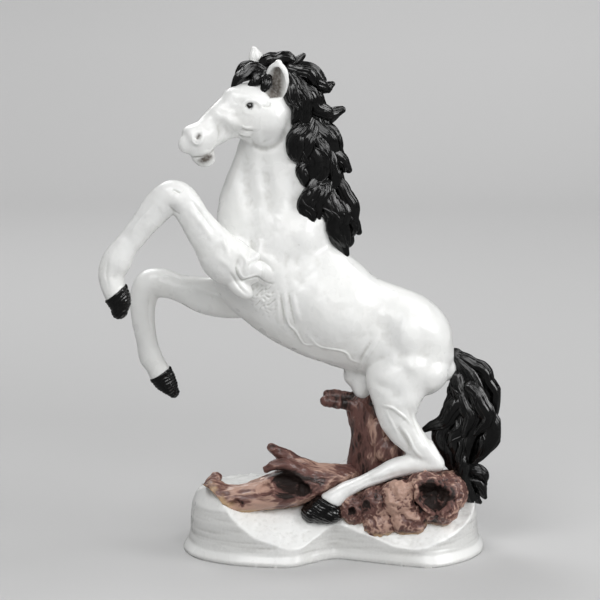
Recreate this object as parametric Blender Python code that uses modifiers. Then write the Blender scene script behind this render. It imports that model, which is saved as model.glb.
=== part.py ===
"""Rearing horse figurine: a hand-painted casting on a wavy white plinth.

The horse faces -X, stands on +Z and shows its left side to -Y. Lengths in the tables are millimetres.
A station of a lofted form is (x, y, z, half depth, half width): the depth lies in the horse's
long plane and the width lies across it.
"""

import math

import bmesh
import bpy
from mathutils import Matrix, Vector, noise

MM = 0.001

# What meets another piece keeps this much air to it.
SEAT_GAP = 0.35
# A faceted form is grown a little more, because its faces move out less than its corners.
FACET_ALLOWANCE = 1.15

# Edges sharper than this stay sharp.
SHARP_DEGREES = 50.0
# A drawn-out form ends in a dome: how far out each ring of it lies, and how wide it is.
DOME = [(0.5, 0.87), (0.8, 0.6), (0.95, 0.31)]
# How squared its sections are: 2 is an oval.
SQUARENESS = 2.2
# A muscle fades out to nothing past this share of its reach, squared.
MUSCLE_EDGE = 6.0

# Facet budgets of the cast forms.
HORSE_FACETS = 3600
FORELEG_FACETS = 640
MANE_FACETS = 1200
FORELOCK_FACETS = 280
TAIL_FACETS = 950
STUMP_FACETS = 560
LOG_FACETS = 720
MOUND_FACETS = 500

# How fine the clay is while forms are blended, and how far the blend runs.
CLAY_GRAIN = 1.2
HAIR_GRAIN = 1.0
WOOD_GRAIN = 1.3
BODY_BLEND = 12
LEG_BLEND = 6
HAIR_BLEND = 2
WOOD_BLEND = 3

# The plinth's outline in plan, where it meets the table.
PLINTH_OUTLINE = [
    (-69, -14), (-60, -32), (-38, -46), (-8, -51), (8, -40), (20, -32), (36, -37), (60, -47),
    (78, -51), (95, -40), (107, -22), (111, -3), (109, 18), (95, 38), (66, 48), (38, 45),
    (14, 42), (-14, 49), (-42, 48), (-61, 32), (-69, 10),
]
# Its wall: (height, inset from the outline), above the table for the flared foot and above the
# level ground for the rounded shoulder.
PLINTH_FOOT = [(0.0, 0.0), (2.0, 0.0), (6.5, 2.6), (12.0, 3.8)]
PLINTH_SHOULDER = [(-12.0, 4.2), (-4.0, 5.6), (3.0, 9.0), (8.5, 14.5), (12.0, 22.0), (14.0, 32.0)]

# The ground on the plinth: a plateau, with rounded scoops (-) and humps (+), each
# (x, y, reach along x, reach along y, height).
GROUND_LEVEL = 34.0
GROUND_SHAPE = [
    (-29, -66, 24, 24, -24.0),
    (43, -57, 54, 24, -34.0),
    (12, -41, 26, 20, -9.0),
    (100, -50, 18, 48, -13.0),
    (-57, -27, 12, 15, 12.0),
]
# The ground's surface is a grid of such cells, and goes this many of them past the plinth all round.
GROUND_CELL = 9.0
CELLS_PAST = 2

# The horse, from its breast to its tail head.
TORSO = [
    (-47, 0, 152, 12, 12), (-40, 0, 148, 23, 18), (-27, 0, 140, 31, 22), (-13, 0, 132, 34, 25),
    (1, 0, 123, 35, 27), (16, 0, 113, 33, 28), (31, 0, 105, 30, 27.5), (46, 0, 100, 28, 26),
    (61, 0, 94, 28, 26), (75, 0, 85, 24, 22), (87, 0, 76, 14, 14),
]
NECK = [
    (-10, 0, 142, 32, 21), (-14, 0, 162, 35, 18), (-15, 0, 178, 33, 15.5), (-14.5, 0, 192, 28.5, 13.5),
    (-14, 0, 206, 24, 12), (-12, 0, 219, 20, 11), (-10, -1, 232, 14, 10.5), (-9, -2, 241, 9, 9),
]
HEAD = [
    (-7, 0, 237, 11, 8), (-14, -3, 233, 16, 11.5), (-23, -7, 230, 18.5, 13),
    (-33, -11, 229, 16.5, 13.2), (-42, -14, 227, 13.5, 9.8), (-50, -17, 222, 11, 8),
    (-56, -20, 218, 9.5, 7.5), (-62, -22, 215, 9, 8), (-66, -24, 212, 6.5, 6.5),
]
HEAD_ACROSS = (-0.36, 0.93, 0.0)

NEAR_FORELEG = [
    (-17, -11, 131, 16, 10), (-32, -19, 137, 17, 11), (-43, -23, 145, 14.5, 10.5),
    (-52, -24, 156, 11.3, 9.5), (-61, -25, 169, 9.2, 8.3), (-69, -25, 181, 9.2, 8.5),
    (-76, -25, 182.5, 9.6, 8.8), (-84, -25, 175, 9, 7.6), (-92, -25, 165, 7.6, 6.6),
    (-101, -25, 154, 7.4, 6.2), (-107, -25, 145, 8.8, 7.5), (-110.5, -25, 137, 7.8, 7),
    (-109.5, -25, 129, 7, 7.4), (-107, -25, 124, 7.4, 8), (-106, -25, 118, 6.8, 7.6),
    (-106, -25, 113, 5, 6.4),
]
FAR_FORELEG = [
    (-18, 9, 124, 15, 10), (-34, 15, 118, 14, 11), (-47, 18, 116, 13, 10.5), (-60, 20, 117, 11, 9),
    (-73, 20, 121, 8.2, 8.5), (-83, 20, 124, 8.8, 9), (-91, 20, 123, 9, 8.8), (-95, 20, 113, 8, 7.4),
    (-95, 20, 101, 7, 6.4), (-93, 20, 89, 6.3, 6.4), (-91, 20, 79, 7, 7.4), (-87, 20, 72, 6.4, 7.4),
    (-83, 20, 65, 7.2, 7.8), (-79.5, 20, 60, 5.6, 7), (-77, 20, 56.5, 3.6, 5),
]
NEAR_HIND_LEG = [
    (67, -9, 92, 24, 13), (61, -14, 79, 21, 14), (57, -18, 65, 17, 12), (59, -20, 51, 12, 9.5),
    (65, -21, 39, 10.5, 8.5), (73, -22, 27, 12, 8.5), (66, -22, 20, 8, 7.5), (54, -23, 17, 7, 6.8),
    (40, -24, 13, 7, 7.2), (29, -25, 7, 7, 7.6), (20, -26, 0, 7.5, 8.2), (11, -26, -5, 7.5, 9),
    (4, -26, -7, 6, 8),
]
HIND_HEEL = (17, -26, -7, 9, 8.5, 6.5, 0)
# The far hind leg stands like the near one, a little forward, with its hoof back on higher ground.
FAR_LEG_FORWARD = 5.0
FAR_HOOF_BACK = 18.0
FAR_HOOF_LIFT = 5.5

# Muscles raised (+) or hollowed (-) on both sides of the casting:
# (x, y, z, reach in x, y and z, tilt in degrees, height).
MUSCLES = [
    (-13, 20, 154, 9, 14, 22, 38, 2.6), (-23, 26, 138, 8, 12, 8, 0, 3.2),
    (-43, 9, 145, 8, 10, 12, 20, 2.2), (3, 25, 136, 6, 14, 24, 40, -2),
    (14, 26, 114, 18, 14, 13, 30, 1.4), (41, 24, 104, 7, 14, 17, 25, -2.6),
    (69, 18, 97, 18, 14, 15, 30, 3.2), (47, 20, 72, 9, 12, 11, 0, 3.4), (80, 12, 74, 9, 12, 9, 0, 2.6),
    (58, 24, 88, 5, 10, 20, -25, -1.4), (-27, 12, 188, 4, 10, 22, -8, -1.8),
    (-18, 14, 192, 3.5, 10, 18, -8, -1.2), (6, 14, 188, 8, 12, 26, 10, 1.2),
]
# The same on both cheeks, with y across the head's own middle plane.
FACE = [
    (-19, 12, 226, 10, 9, 10, 0, 2.6), (-33, 13, 240, 7, 8, 3.4, 20, 2),
    (-46, 9, 228, 9, 7, 3, 32, 1.4), (-44, 9, 219, 7, 8, 4.5, 20, -1.6),
    (-61, 7, 217, 4.5, 6, 4.5, 0, 1.5),
]
CHIN = (-57, -20, 206, 6.5, 6.2, 5.4, 15)
SHEATH = (33, 0, 70, 8, 8, 9, 0)

# The eyes: how far along the head, how far above its middle there, and how far in from its cheek.
EYE_RADIUS = 4.0
EYE_ALONG = -33.0
EYE_ABOVE = 5.8
EYE_SUNK = 3.5

# Ears: root, tip, half width, half thickness, and the direction that its breadth runs along.
NEAR_EAR = ((-14, -10, 238), (-12, -14, 261.5), 7.4, 3.2, (0.94, -0.34, 0))
FAR_EAR = ((-20, 3, 242), (-27, 6, 267.5), 6.4, 3.4, (0.8, 0.6, 0))
# How broad an ear is on its way from root to tip, and how much of its thickness it loses as it narrows.
EAR_PROFILE = [(0.0, 0.62), (0.2, 0.88), (0.42, 1.0), (0.66, 0.84), (0.86, 0.5), (1.0, 0.14)]
EAR_THINNING = 0.45
EAR_HOLLOW = 0.66

# Where each hoof starts: (point on the coronet, direction towards the toe, depth of the block that holds it).
NEAR_FORE_HOOF = ((-110, -25, 124.5), (0.62, 0, -0.78), 16)
FAR_FORE_HOOF = ((-85, 20, 68.5), (0.55, 0, -0.83), 16)
NEAR_HIND_HOOF = ((15, -26, -2.5), (-0.3, 0, -0.95), 24)
HOOF_BLOCK_BREADTH = 1.6

# A lock's fullness: its share at the root, where it is full, and how much it loses by its tip, and how late.
LOCK_ROOT = 0.72
LOCK_FULL_AT = 0.4
LOCK_TAPER = 0.8
LOCK_TAPER_CURVE = 2.4

# Locks of hair: points from root to tip, then half breadth and half thickness.
MANE_LOCKS = [
    ([(-22, -2, 255), (-18, -2, 260.5), (-10, -2, 261), (-4, -1, 259), (2, -1, 263)], 4.8, 4.5),
    ([(-9, 0, 255), (0, 0, 255), (9, 1, 250), (15, 0, 245), (19, 0, 246)], 5.6, 5.5),
    ([(-3, -2, 251), (3, -2, 243), (9, -1, 234), (16, 0, 227.5), (25, 0, 231)], 7.2, 6),
    ([(-6, -7, 252), (-2, -11, 243), (-1, -12, 233), (3, -12, 223)], 5, 4),
    ([(4, -9, 227), (0, -13, 217), (-1, -14, 209), (0, -13, 201)], 5.6, 4.2),
    ([(7, -4, 226), (15, -3, 218), (21, -3, 207), (29, -1, 195)], 6.6, 5.5),
    ([(5, -9, 215), (8, -12, 205), (9, -12, 195), (14, -10, 186)], 7.4, 4.5),
    ([(12, -10, 190), (7, -14, 182), (6, -15, 174), (7, -14, 165)], 5.8, 4),
    ([(18, -2, 194), (24, -2, 183), (29, -2, 172), (35, -1, 158)], 6.2, 5.5),
    ([(12, -9, 186), (17, -10, 174), (21, -9, 162), (27, -6, 145)], 8.0, 4.5),
    ([(-3, 6, 249), (2, 9, 236), (3, 11, 221), (0, 12, 204)], 6.5, 4.2),
    ([(7, 8, 227), (11, 11, 212), (8, 14, 193)], 6.5, 4.2),
    ([(15, 8, 200), (19, 11, 184), (15, 14, 167)], 6.5, 4.2),
    ([(23, 6, 176), (27, 8, 162), (26, 9, 146)], 5.6, 4.2),
]
MANE_CREST = [
    (-16, -1, 253, 5, 7), (-6, 0, 249, 8, 7.5), (3, 0, 238, 9, 8.5), (9, 0, 223, 9, 9),
    (13, 0, 206, 9.5, 9.5), (18, 0, 188, 9, 9.5), (23, 0, 170, 8, 9), (28, 0, 153, 4.5, 6),
]
FORELOCK_LOCKS = [
    ([(-17, -4, 252), (-27, -7, 255), (-34, -10, 252), (-39, -12, 245)], 4.6, 4),
    ([(-18, -8, 253), (-25, -12, 250), (-30, -14, 245)], 4.2, 3.6),
    ([(-17, -10, 251), (-20, -14, 248), (-22, -16, 242)], 3.8, 3),
    ([(-20, -1, 253), (-29, 1, 255), (-35, 1, 251), (-38, -2, 245)], 4.6, 4),
]
TAIL_DOCK = [
    (93, 0, 83, 5, 5), (102, 0, 73, 8, 8), (106, 0, 61, 10.5, 10), (105, 0, 47, 12, 11),
    (101, 0, 35, 10, 10), (98, 0, 22, 7.5, 8), (99, 0, 8, 5.5, 7), (103, -1, -3, 5, 6),
]
TAIL_LOCKS = [
    ([(96, -1, 83), (108, -2, 76), (115, -3, 65), (117, -3, 52), (112, -2, 41)], 4.6, 6),
    ([(108, -5, 56), (114, -7, 43), (112, -7, 29), (104, -5, 19)], 7, 6),
    ([(94, -4, 71), (96, -6, 57), (87, -7, 46), (75, -5, 39)], 6.2, 5.5),
    ([(93, -2, 49), (86, -4, 36), (89, -5, 23), (97, -5, 10)], 6, 5.5),
    ([(97, -6, 33), (96, -8, 18), (99, -8, 5), (104, -6, -7)], 5, 4.5),
    ([(100, 3, 14), (107, 3, 10), (113, 3, 4), (108, 2, -1)], 4.6, 5),
    ([(102, 1, 3), (109, 1, 0), (113, 1, -5), (107, 0, -8)], 4, 4.5),
    ([(99, 5, 74), (109, 8, 58), (109, 8, 39), (102, 7, 23)], 6.5, 5.5),
    ([(95, 5, 67), (92, 8, 50), (88, 7, 36)], 6, 5),
]

STUMP_TRUNK = [
    (50, 4, -6, 18, 16), (48, 3, 6, 16, 14), (46, 2, 16, 14, 12), (44, 1, 25, 12.5, 11),
    (41, 0, 35, 10.5, 9.5), (38, 0, 45, 8.5, 8.5), (36, 0, 53, 8, 7.5), (38, 0, 58, 5, 5),
]
STUMP_TINES = [
    [(42, 2, 57, 3.2, 4), (28, 1, 58, 2.9, 4), (16, 0, 60, 2.6, 3.2)],
    [(38, -2, 52, 4.2, 5.5), (27, -2, 54.5, 3.6, 4.8), (15, -3, 56, 2.9, 3.2)],
]
LOG_TRUNK = [
    (-52, -22, 6, 6, 8), (-45, -23, 2, 7, 10), (-36, -23, 1, 8, 12), (-25, -22, 3, 8.5, 13),
    (-15, -21, 5, 10.5, 14), (-5, -19, 7, 12, 14), (5, -17, 9, 10.5, 12), (13, -13, 11, 8, 10),
    (22, -9, 12, 6, 9), (30, -4, 12, 5, 7),
]
LOG_LIMBS = [
    [(-51, -21, 3, 4, 5), (-53, -20, 8, 4, 4.6), (-50, -18, 12.5, 3, 3.6)],
    [(10, -12, 12, 6.5, 7), (0, -14, 19, 5, 5.4), (-8, -16, 25, 3.8, 4.2), (-17, -18, 31, 2.6, 2.8)],
    [(3, -20, 14, 5.5, 6), (-7, -24, 21, 3.6, 4), (-14, -26, 22, 3, 3.4), (-20, -26, 19.5, 2.4, 2.8)],
]
LOG_HOLLOW = (-9, -35, 11, 10.5, 11, 6.8, 8)
LOG_KNOT_HOLE = (-38, -37, -0.5, 5, 6, 3.6, 0)

MOUND_ROCKS = [
    (32, -26, -5, 9, 8, 9, 0), (45, -27, -2, 11, 10, 11, 10), (59, -30, 2, 12, 11, 12, 0),
    (75, -28, 5, 13, 12, 13, 0), (88, -23, 4, 11, 12, 12, 20), (48, -31, -13, 10, 7.5, 8, 0),
    (64, -34, -10, 11, 8, 9, 0), (80, -31, -3, 13, 9, 10, 0), (84, -8, 3, 17, 16, 11, 0),
    (66, 12, 2, 22, 18, 10, 0), (44, 26, 2, 20, 14, 9, 0), (56, -14, 2, 16, 16, 10, 0),
]
# Crumbly rock and ridged bark: height, and the grain along x, y and z.
ROCK_RELIEF = (2.2, (11.0, 11.0, 11.0))
LOG_RELIEF = (1.5, (30.0, 9.0, 9.0))
STUMP_RELIEF = (1.4, (8.0, 8.0, 32.0))

WHITE = (0.86, 0.87, 0.86)
BLACK = (0.012, 0.012, 0.014)
WOOD = (0.17, 0.085, 0.07)
EYE_BLACK = (0.01, 0.01, 0.012)


def clear_scene():
    for old in list(bpy.data.objects):
        bpy.data.objects.remove(old, do_unlink=True)


def collection(name):
    made = bpy.data.collections.new(name)
    bpy.context.scene.collection.children.link(made)
    return made


def paint(name, colour, roughness):
    material = bpy.data.materials.new(name)
    material.use_nodes = True
    shader = material.node_tree.nodes["Principled BSDF"]
    shader.inputs["Base Color"].default_value = (*colour, 1.0)
    shader.inputs["Roughness"].default_value = roughness
    shader.inputs["Metallic"].default_value = 0.0
    return material


def place(x, y, z):
    """A point of the figure in metres: the tables give its height above the level ground."""
    return Vector((x, y, z + GROUND_LEVEL)) * MM


def smooth_path(stations, steps):
    """Catmull-Rom through the stations, so that a few of them make a flowing form."""
    rows = [Vector(s) for s in stations]
    rows = [rows[0] * 2 - rows[1], *rows, rows[-1] * 2 - rows[-2]]
    out = []
    for i in range(1, len(rows) - 2):
        a, b, c, d = rows[i - 1 : i + 3]
        for k in range(steps):
            t = k / steps
            point = b * 2 + (c - a) * t
            point += (a * 2 - b * 5 + c * 4 - d) * t * t
            point += (b * 3 - a - c * 3 + d) * t**3
            out.append(point / 2)
    out.append(rows[-2])
    return out


def add_loft(bm, stations, across=(0, 1, 0), sides=14, steps=3):
    """A closed tube through oval sections, with a domed end at both ends."""
    path = smooth_path(stations, steps)
    centres = [place(*p[:3]) for p in path]
    sizes = [(max(p[3], 0.3) * MM, max(p[4], 0.3) * MM) for p in path]
    tangents = [
        (centres[min(i + 1, len(path) - 1)] - centres[max(i - 1, 0)]).normalized() for i in range(len(path))
    ]
    rings = []
    for out, share in DOME[::-1]:
        rings.append((centres[0] - tangents[0] * min(sizes[0]) * out, tangents[0], sizes[0], share))
    for centre, tangent, size in zip(centres, tangents, sizes):
        rings.append((centre, tangent, size, 1.0))
    for out, share in DOME:
        rings.append((centres[-1] + tangents[-1] * min(sizes[-1]) * out, tangents[-1], sizes[-1], share))
    loops = []
    for centre, tangent, (depth, width), share in rings:
        side = Vector(across)
        side = (side - tangent * side.dot(tangent)).normalized()
        up = side.cross(tangent)
        loop = []
        for k in range(sides):
            angle = math.tau * k / sides
            out, rise = math.cos(angle), math.sin(angle)
            out = math.copysign(abs(out) ** (2 / SQUARENESS), out)
            rise = math.copysign(abs(rise) ** (2 / SQUARENESS), rise)
            loop.append(bm.verts.new(centre + side * (out * width * share) + up * (rise * depth * share)))
        loops.append(loop)
    for lower, upper in zip(loops, loops[1:]):
        for k in range(sides):
            bm.faces.new((lower[k], lower[(k + 1) % sides], upper[(k + 1) % sides], upper[k]))
    bm.faces.new(loops[0][::-1])
    bm.faces.new(loops[-1])


def add_lump(bm, x, y, z, along, across, up, tilt=0.0):
    """An ellipsoid of flesh or rock, tilted about the Y axis."""
    turned = Matrix.Translation(place(x, y, z)) @ Matrix.Rotation(math.radians(tilt), 4, "Y")
    size = Matrix.Diagonal((along * MM, across * MM, up * MM, 1.0))
    bmesh.ops.create_uvsphere(bm, u_segments=16, v_segments=10, radius=1.0, matrix=turned @ size)


def add_lock(bm, points, breadth, thickness, steps=4):
    """A lock of hair, which fills out from its root and tapers to its tip."""
    last = len(points) - 1
    stations = []
    for i, point in enumerate(points):
        share = i / last
        filled = math.sin(math.pi / 2 * min(1.0, share / LOCK_FULL_AT))
        full = LOCK_ROOT + (1 - LOCK_ROOT) * filled
        full *= 1 - LOCK_TAPER * share**LOCK_TAPER_CURVE
        stations.append((*point, breadth * full, thickness * full))
    add_loft(bm, stations, sides=10, steps=steps)


def new_object(name, bm, target):
    bmesh.ops.recalc_face_normals(bm, faces=bm.faces)
    mesh = bpy.data.meshes.new(name)
    bm.to_mesh(mesh)
    bm.free()
    made = bpy.data.objects.new(name, mesh)
    target.objects.link(made)
    return made


def as_cutter(obj):
    """Marks a guide that the finished figurine leaves out."""
    obj.hide_render = True
    obj.display_type = "WIRE"
    return obj


def apply_modifiers(obj):
    """Keeps what the modifiers make as the object's own mesh."""
    graph = bpy.context.evaluated_depsgraph_get()
    mesh = bpy.data.meshes.new_from_object(obj.evaluated_get(graph))
    old = obj.data
    obj.modifiers.clear()
    obj.data = mesh
    bpy.data.meshes.remove(old)


def keep_largest_body(obj):
    """Drops the crumbs that a cut can leave beside the main body."""
    bm = bmesh.new()
    bm.from_mesh(obj.data)
    left, bodies = set(bm.verts), []
    while left:
        stack, body = [left.pop()], set()
        while stack:
            vert = stack.pop()
            body.add(vert)
            for edge in vert.link_edges:
                other = edge.other_vert(vert)
                if other in left:
                    left.discard(other)
                    stack.append(other)
        bodies.append(body)
    bodies.sort(key=len)
    bmesh.ops.delete(bm, geom=[v for body in bodies[:-1] for v in body], context="VERTS")
    bm.to_mesh(obj.data)
    bm.free()


def fuse(obj, grain, rounds):
    """Fuses the overlapping forms of one casting and softens its creases."""
    remesh = obj.modifiers.new("Fuse", "REMESH")
    remesh.mode = "VOXEL"
    remesh.voxel_size = grain * MM
    soften = obj.modifiers.new("Soften", "SMOOTH")
    soften.factor = 0.5
    soften.iterations = round(rounds)
    apply_modifiers(obj)
    keep_largest_body(obj)


def thin(obj, facets):
    fewer = obj.modifiers.new("Thin", "DECIMATE")
    fewer.ratio = min(1.0, facets / (2 * len(obj.data.polygons)))
    fewer.use_collapse_triangulate = True
    apply_modifiers(obj)


def roughen(obj, height, grain):
    """Raises a crumbly or ridged relief, of a height and a grain along x, y and z."""
    moves = []
    for vert in obj.data.vertices:
        at = vert.co - place(0, 0, 0)
        at = Vector([at[i] / (grain[i] * MM) for i in range(3)])
        rise = noise.noise(at) + 0.5 * noise.noise(at * 2.1)
        moves.append((vert, vert.normal * rise * height * MM))
    for vert, move in moves:
        vert.co += move


def grown(obj, gap, name, target):
    """A cutter that stands a gap proud of the piece all over."""
    bm = bmesh.new()
    bm.from_mesh(obj.data)
    bm.normal_update()
    moves = [(v, v.co + v.normal * gap * FACET_ALLOWANCE * MM) for v in bm.verts]
    for vert, spot in moves:
        vert.co = spot
    made = new_object(name, bm, target)
    return as_cutter(made)


def cut(obj, cutter, operation="DIFFERENCE"):
    step = obj.modifiers.new("Cut", "BOOLEAN")
    step.operation = operation
    step.solver = "EXACT"
    step.object = cutter
    apply_modifiers(obj)
    keep_largest_body(obj)


def ground_rise(x, y):
    """How far the ground rises above its own level."""
    rise = 0.0
    for centre_x, centre_y, reach_x, reach_y, height in GROUND_SHAPE:
        rise += height * math.exp(-(((x - centre_x) / reach_x) ** 2) - ((y - centre_y) / reach_y) ** 2)
    return rise


def ground_block(name, gap, depth, target):
    """The space between the ground, raised by a gap, and a level plane that far above (+) or below (-)."""
    reach = max(abs(c) for point in PLINTH_OUTLINE for c in point)
    half = math.ceil(reach / GROUND_CELL + CELLS_PAST)
    count = 2 * half
    start = -half * GROUND_CELL
    bm = bmesh.new()
    grid = {}
    for i in range(count + 1):
        for j in range(count + 1):
            x, y = start + i * GROUND_CELL, start + j * GROUND_CELL
            grid[i, j] = bm.verts.new(place(x, y, ground_rise(x, y) + gap))
    for i in range(count):
        for j in range(count):
            corners = (grid[i, j], grid[i + 1, j], grid[i + 1, j + 1], grid[i, j + 1])
            bm.faces.new((corners[0], corners[1], corners[2]))
            bm.faces.new((corners[0], corners[2], corners[3]))
    rim = [grid[i, 0] for i in range(count)] + [grid[count, j] for j in range(count)]
    rim += [grid[i, count] for i in range(count, 0, -1)] + [grid[0, j] for j in range(count, 0, -1)]
    flat = [bm.verts.new((v.co.x, v.co.y, place(0, 0, depth).z)) for v in rim]
    for k in range(len(rim)):
        n = (k + 1) % len(rim)
        bm.faces.new((rim[k], rim[n], flat[n], flat[k]))
    bm.faces.new(flat)
    return as_cutter(new_object(name, bm, target))


def finish(obj, material, target, cutters):
    """Paints the piece, shades its soft faces smooth and files it with the parts."""
    obj.data.materials.clear()
    obj.data.materials.append(material)
    obj.data.shade_smooth()
    obj.data.set_sharp_from_angle(angle=math.radians(SHARP_DEGREES))
    cutters.objects.unlink(obj)
    target.objects.link(obj)


def build_plinth(parts, cutters, material):
    """The wavy plinth: a wall with a flared foot, cut off by the ground's own surface."""
    outline = PLINTH_OUTLINE
    closed = [(*p, 0.0) for p in (*outline[-2:], *outline, *outline[:2])]
    curve = smooth_path(closed, 3)[6 : 6 + 3 * len(outline)]
    low = [min(p[k] for p in outline) for k in range(2)]
    high = [max(p[k] for p in outline) for k in range(2)]
    centre = [(low[k] + high[k]) / 2 for k in range(2)]
    half = [(high[k] - low[k]) / 2 for k in range(2)]
    wall = [(height - GROUND_LEVEL, inset) for height, inset in PLINTH_FOOT] + PLINTH_SHOULDER
    bm = bmesh.new()
    loops = []
    for height, inset in wall:
        share = [1 - inset / half[k] for k in range(2)]
        spots = [[centre[k] + (p[k] - centre[k]) * share[k] for k in range(2)] for p in curve]
        loops.append([bm.verts.new(place(*spot, height)) for spot in spots])
    for lower, upper in zip(loops, loops[1:]):
        for k in range(len(curve)):
            n = (k + 1) % len(curve)
            bm.faces.new((lower[k], lower[n], upper[n], upper[k]))
    bm.faces.new(loops[0][::-1])
    bm.faces.new(loops[-1])
    plinth = new_object("plinth", bm, cutters)
    cut(plinth, ground_block("sky", 0.0, 2 * GROUND_LEVEL, cutters))
    finish(plinth, material, parts, cutters)
    return plinth


def mirrored(rows):
    """Each mass on the near side, then its twin on the far side."""
    for x, y, *rest in rows:
        yield (x, -y, *rest)
        yield (x, y, *rest)


def head_place(x, across, z):
    """A point of the head: so far along and up, and so far across its turned middle plane."""
    share = (x - HEAD[0][0]) / (HEAD[-1][0] - HEAD[0][0])
    middle_y = HEAD[-1][1] * share
    return Vector((x + across * HEAD_ACROSS[0], middle_y + across * HEAD_ACROSS[1], z))


def head_section(x):
    """The height of the head's middle and its half width, so far along it."""
    for (start, _, low, _, narrow), (end, _, high, _, wide) in zip(HEAD, HEAD[1:]):
        if end <= x <= start:
            share = (x - start) / (end - start)
            return low + (high - low) * share, narrow + (wide - narrow) * share


def leaf(root, tip, width, thickness):
    """The stations of a pointed ear."""
    root, tip = Vector(root), Vector(tip)
    stations = []
    for share, part in EAR_PROFILE:
        left = 1 - EAR_THINNING * (1 - part)
        stations.append((*root.lerp(tip, share), thickness * left, width * part))
    return stations


def build_ear(name, ear, grow, cutters):
    """A pointed leaf of an ear, or, grown by a gap, the space that hair leaves for it."""
    root, tip, width, thickness, across = ear
    bm = bmesh.new()
    add_loft(bm, leaf(root, tip, width + grow, thickness + grow), across=across, sides=12, steps=1)
    return as_cutter(new_object(name, bm, cutters))


def add_ear(horse, name, ear, cutters):
    """Sets an ear on the poll, hollowed on the side that looks at the viewer."""
    root, tip, width, thickness, across = ear
    outer = build_ear(name, ear, 0.0, cutters)
    forward = Vector(across).cross(Vector((0, 0, 1))).normalized() * thickness
    rise = (Vector(tip) - Vector(root)) * 0.2
    hollow = (Vector(root) + rise + forward, Vector(tip) - rise * 0.5 + forward, width * EAR_HOLLOW)
    cut(outer, build_ear(name + "_hollow", (*hollow, thickness, across), 0.0, cutters))
    cut(horse, outer, "UNION")


def far_hind_leg():
    """The far hind leg, from the near one's stations."""
    last = len(NEAR_HIND_LEG) - 1
    rows = []
    for i, (x, y, z, depth, width) in enumerate(NEAR_HIND_LEG):
        share = (i / last) ** 2
        back = FAR_HOOF_BACK * share - FAR_LEG_FORWARD
        rows.append((x + back, -y, z + FAR_HOOF_LIFT * share, depth, width))
    return rows


def far_side(x, y, z, *rest):
    """Where something of the near hind hoof lies on the far one."""
    return (x + FAR_HOOF_BACK - FAR_LEG_FORWARD, -y, z + FAR_HOOF_LIFT, *rest)


def far_hind_hoof():
    coronet, direction, size = NEAR_HIND_HOOF
    return far_side(*coronet), direction, size


def swell(obj, x, y, z, reach_x, reach_y, reach_z, tilt, height):
    """Raises or hollows a muscle, fading out over its reach."""
    turn = Matrix.Rotation(-math.radians(tilt), 3, "Y")
    centre = place(x, y, z)
    reach = Vector((reach_x, reach_y, reach_z)) * MM
    moves = []
    for vert in obj.data.vertices:
        away = turn @ (vert.co - centre)
        distance = (away.x / reach.x) ** 2 + (away.y / reach.y) ** 2 + (away.z / reach.z) ** 2
        if distance < MUSCLE_EDGE:
            moves.append((vert, vert.normal * height * MM * math.exp(-distance)))
    for vert, move in moves:
        vert.co += move


def build_horse(cutters):
    """Torso, neck, head and both hind legs: one casting."""
    bm = bmesh.new()
    add_loft(bm, TORSO, sides=20, steps=3)
    add_loft(bm, NECK, sides=18, steps=3)
    add_loft(bm, HEAD, across=HEAD_ACROSS, sides=16, steps=3)
    add_loft(bm, NEAR_HIND_LEG)
    add_loft(bm, far_hind_leg())
    for lump in (HIND_HEEL, far_side(*HIND_HEEL), CHIN, SHEATH):
        add_lump(bm, *lump)
    horse = new_object("horse", bm, cutters)
    fuse(horse, CLAY_GRAIN, BODY_BLEND)
    for muscle in mirrored(MUSCLES):
        swell(horse, *muscle)
    for x, across, z, *rest in mirrored(FACE):
        swell(horse, *head_place(x, across, z), *rest)
    thin(horse, HORSE_FACETS)
    return horse


def hoof_block(name, coronet, direction, size, cutters, gap=0.0):
    """A box that starts at the coronet and holds the whole hoof."""
    toward = Vector(direction).normalized()
    turn = toward.to_track_quat("Z", "Y").to_matrix().to_4x4()
    centre = Vector(coronet) + toward * (size / 2 - gap)
    breadth = size * HOOF_BLOCK_BREADTH
    size_m = Matrix.Diagonal((breadth * MM, breadth * MM, size * MM, 1.0))
    bm = bmesh.new()
    bmesh.ops.create_cube(bm, size=1.0, matrix=Matrix.Translation(place(*centre)) @ turn @ size_m)
    made = new_object(name, bm, cutters)
    return as_cutter(made)


def copy_of(obj, name, target):
    made = bpy.data.objects.new(name, obj.data.copy())
    target.objects.link(made)
    return made


def split_hoof(leg, name, hoof, cutters):
    """Takes the hoof off the leg at the coronet, and returns it."""
    block = hoof_block(name + "_block", *hoof, cutters)
    made = copy_of(leg, name, cutters)
    cut(made, block, "INTERSECT")
    clear = hoof_block(name + "_clearance", *hoof, cutters, gap=SEAT_GAP)
    cut(leg, clear)
    return made


def build_eyes(horse, cutters):
    """Two domed eyes, set in sockets of the head."""
    eyes = []
    height, half_width = head_section(EYE_ALONG)
    for name, side in (("left_eye", -1), ("right_eye", 1)):
        centre = place(*head_place(EYE_ALONG, side * (half_width - EYE_SUNK), height + EYE_ABOVE))
        for grow, title in ((SEAT_GAP, name + "_socket"), (0.0, name)):
            bm = bmesh.new()
            spot = Matrix.Translation(centre)
            radius = (EYE_RADIUS + grow) * MM
            bmesh.ops.create_uvsphere(bm, u_segments=12, v_segments=8, radius=radius, matrix=spot)
            made = new_object(title, bm, cutters)
            if grow:
                cut(horse, as_cutter(made))
            else:
                eyes.append(made)
    return eyes


def build_hair(name, ridge, locks, facets, cutters):
    bm = bmesh.new()
    if ridge:
        add_loft(bm, ridge, sides=12, steps=3)
    for points, breadth, thickness in locks:
        add_lock(bm, points, breadth, thickness)
    hair = new_object(name, bm, cutters)
    fuse(hair, HAIR_GRAIN, HAIR_BLEND)
    thin(hair, facets)
    return hair


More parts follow.
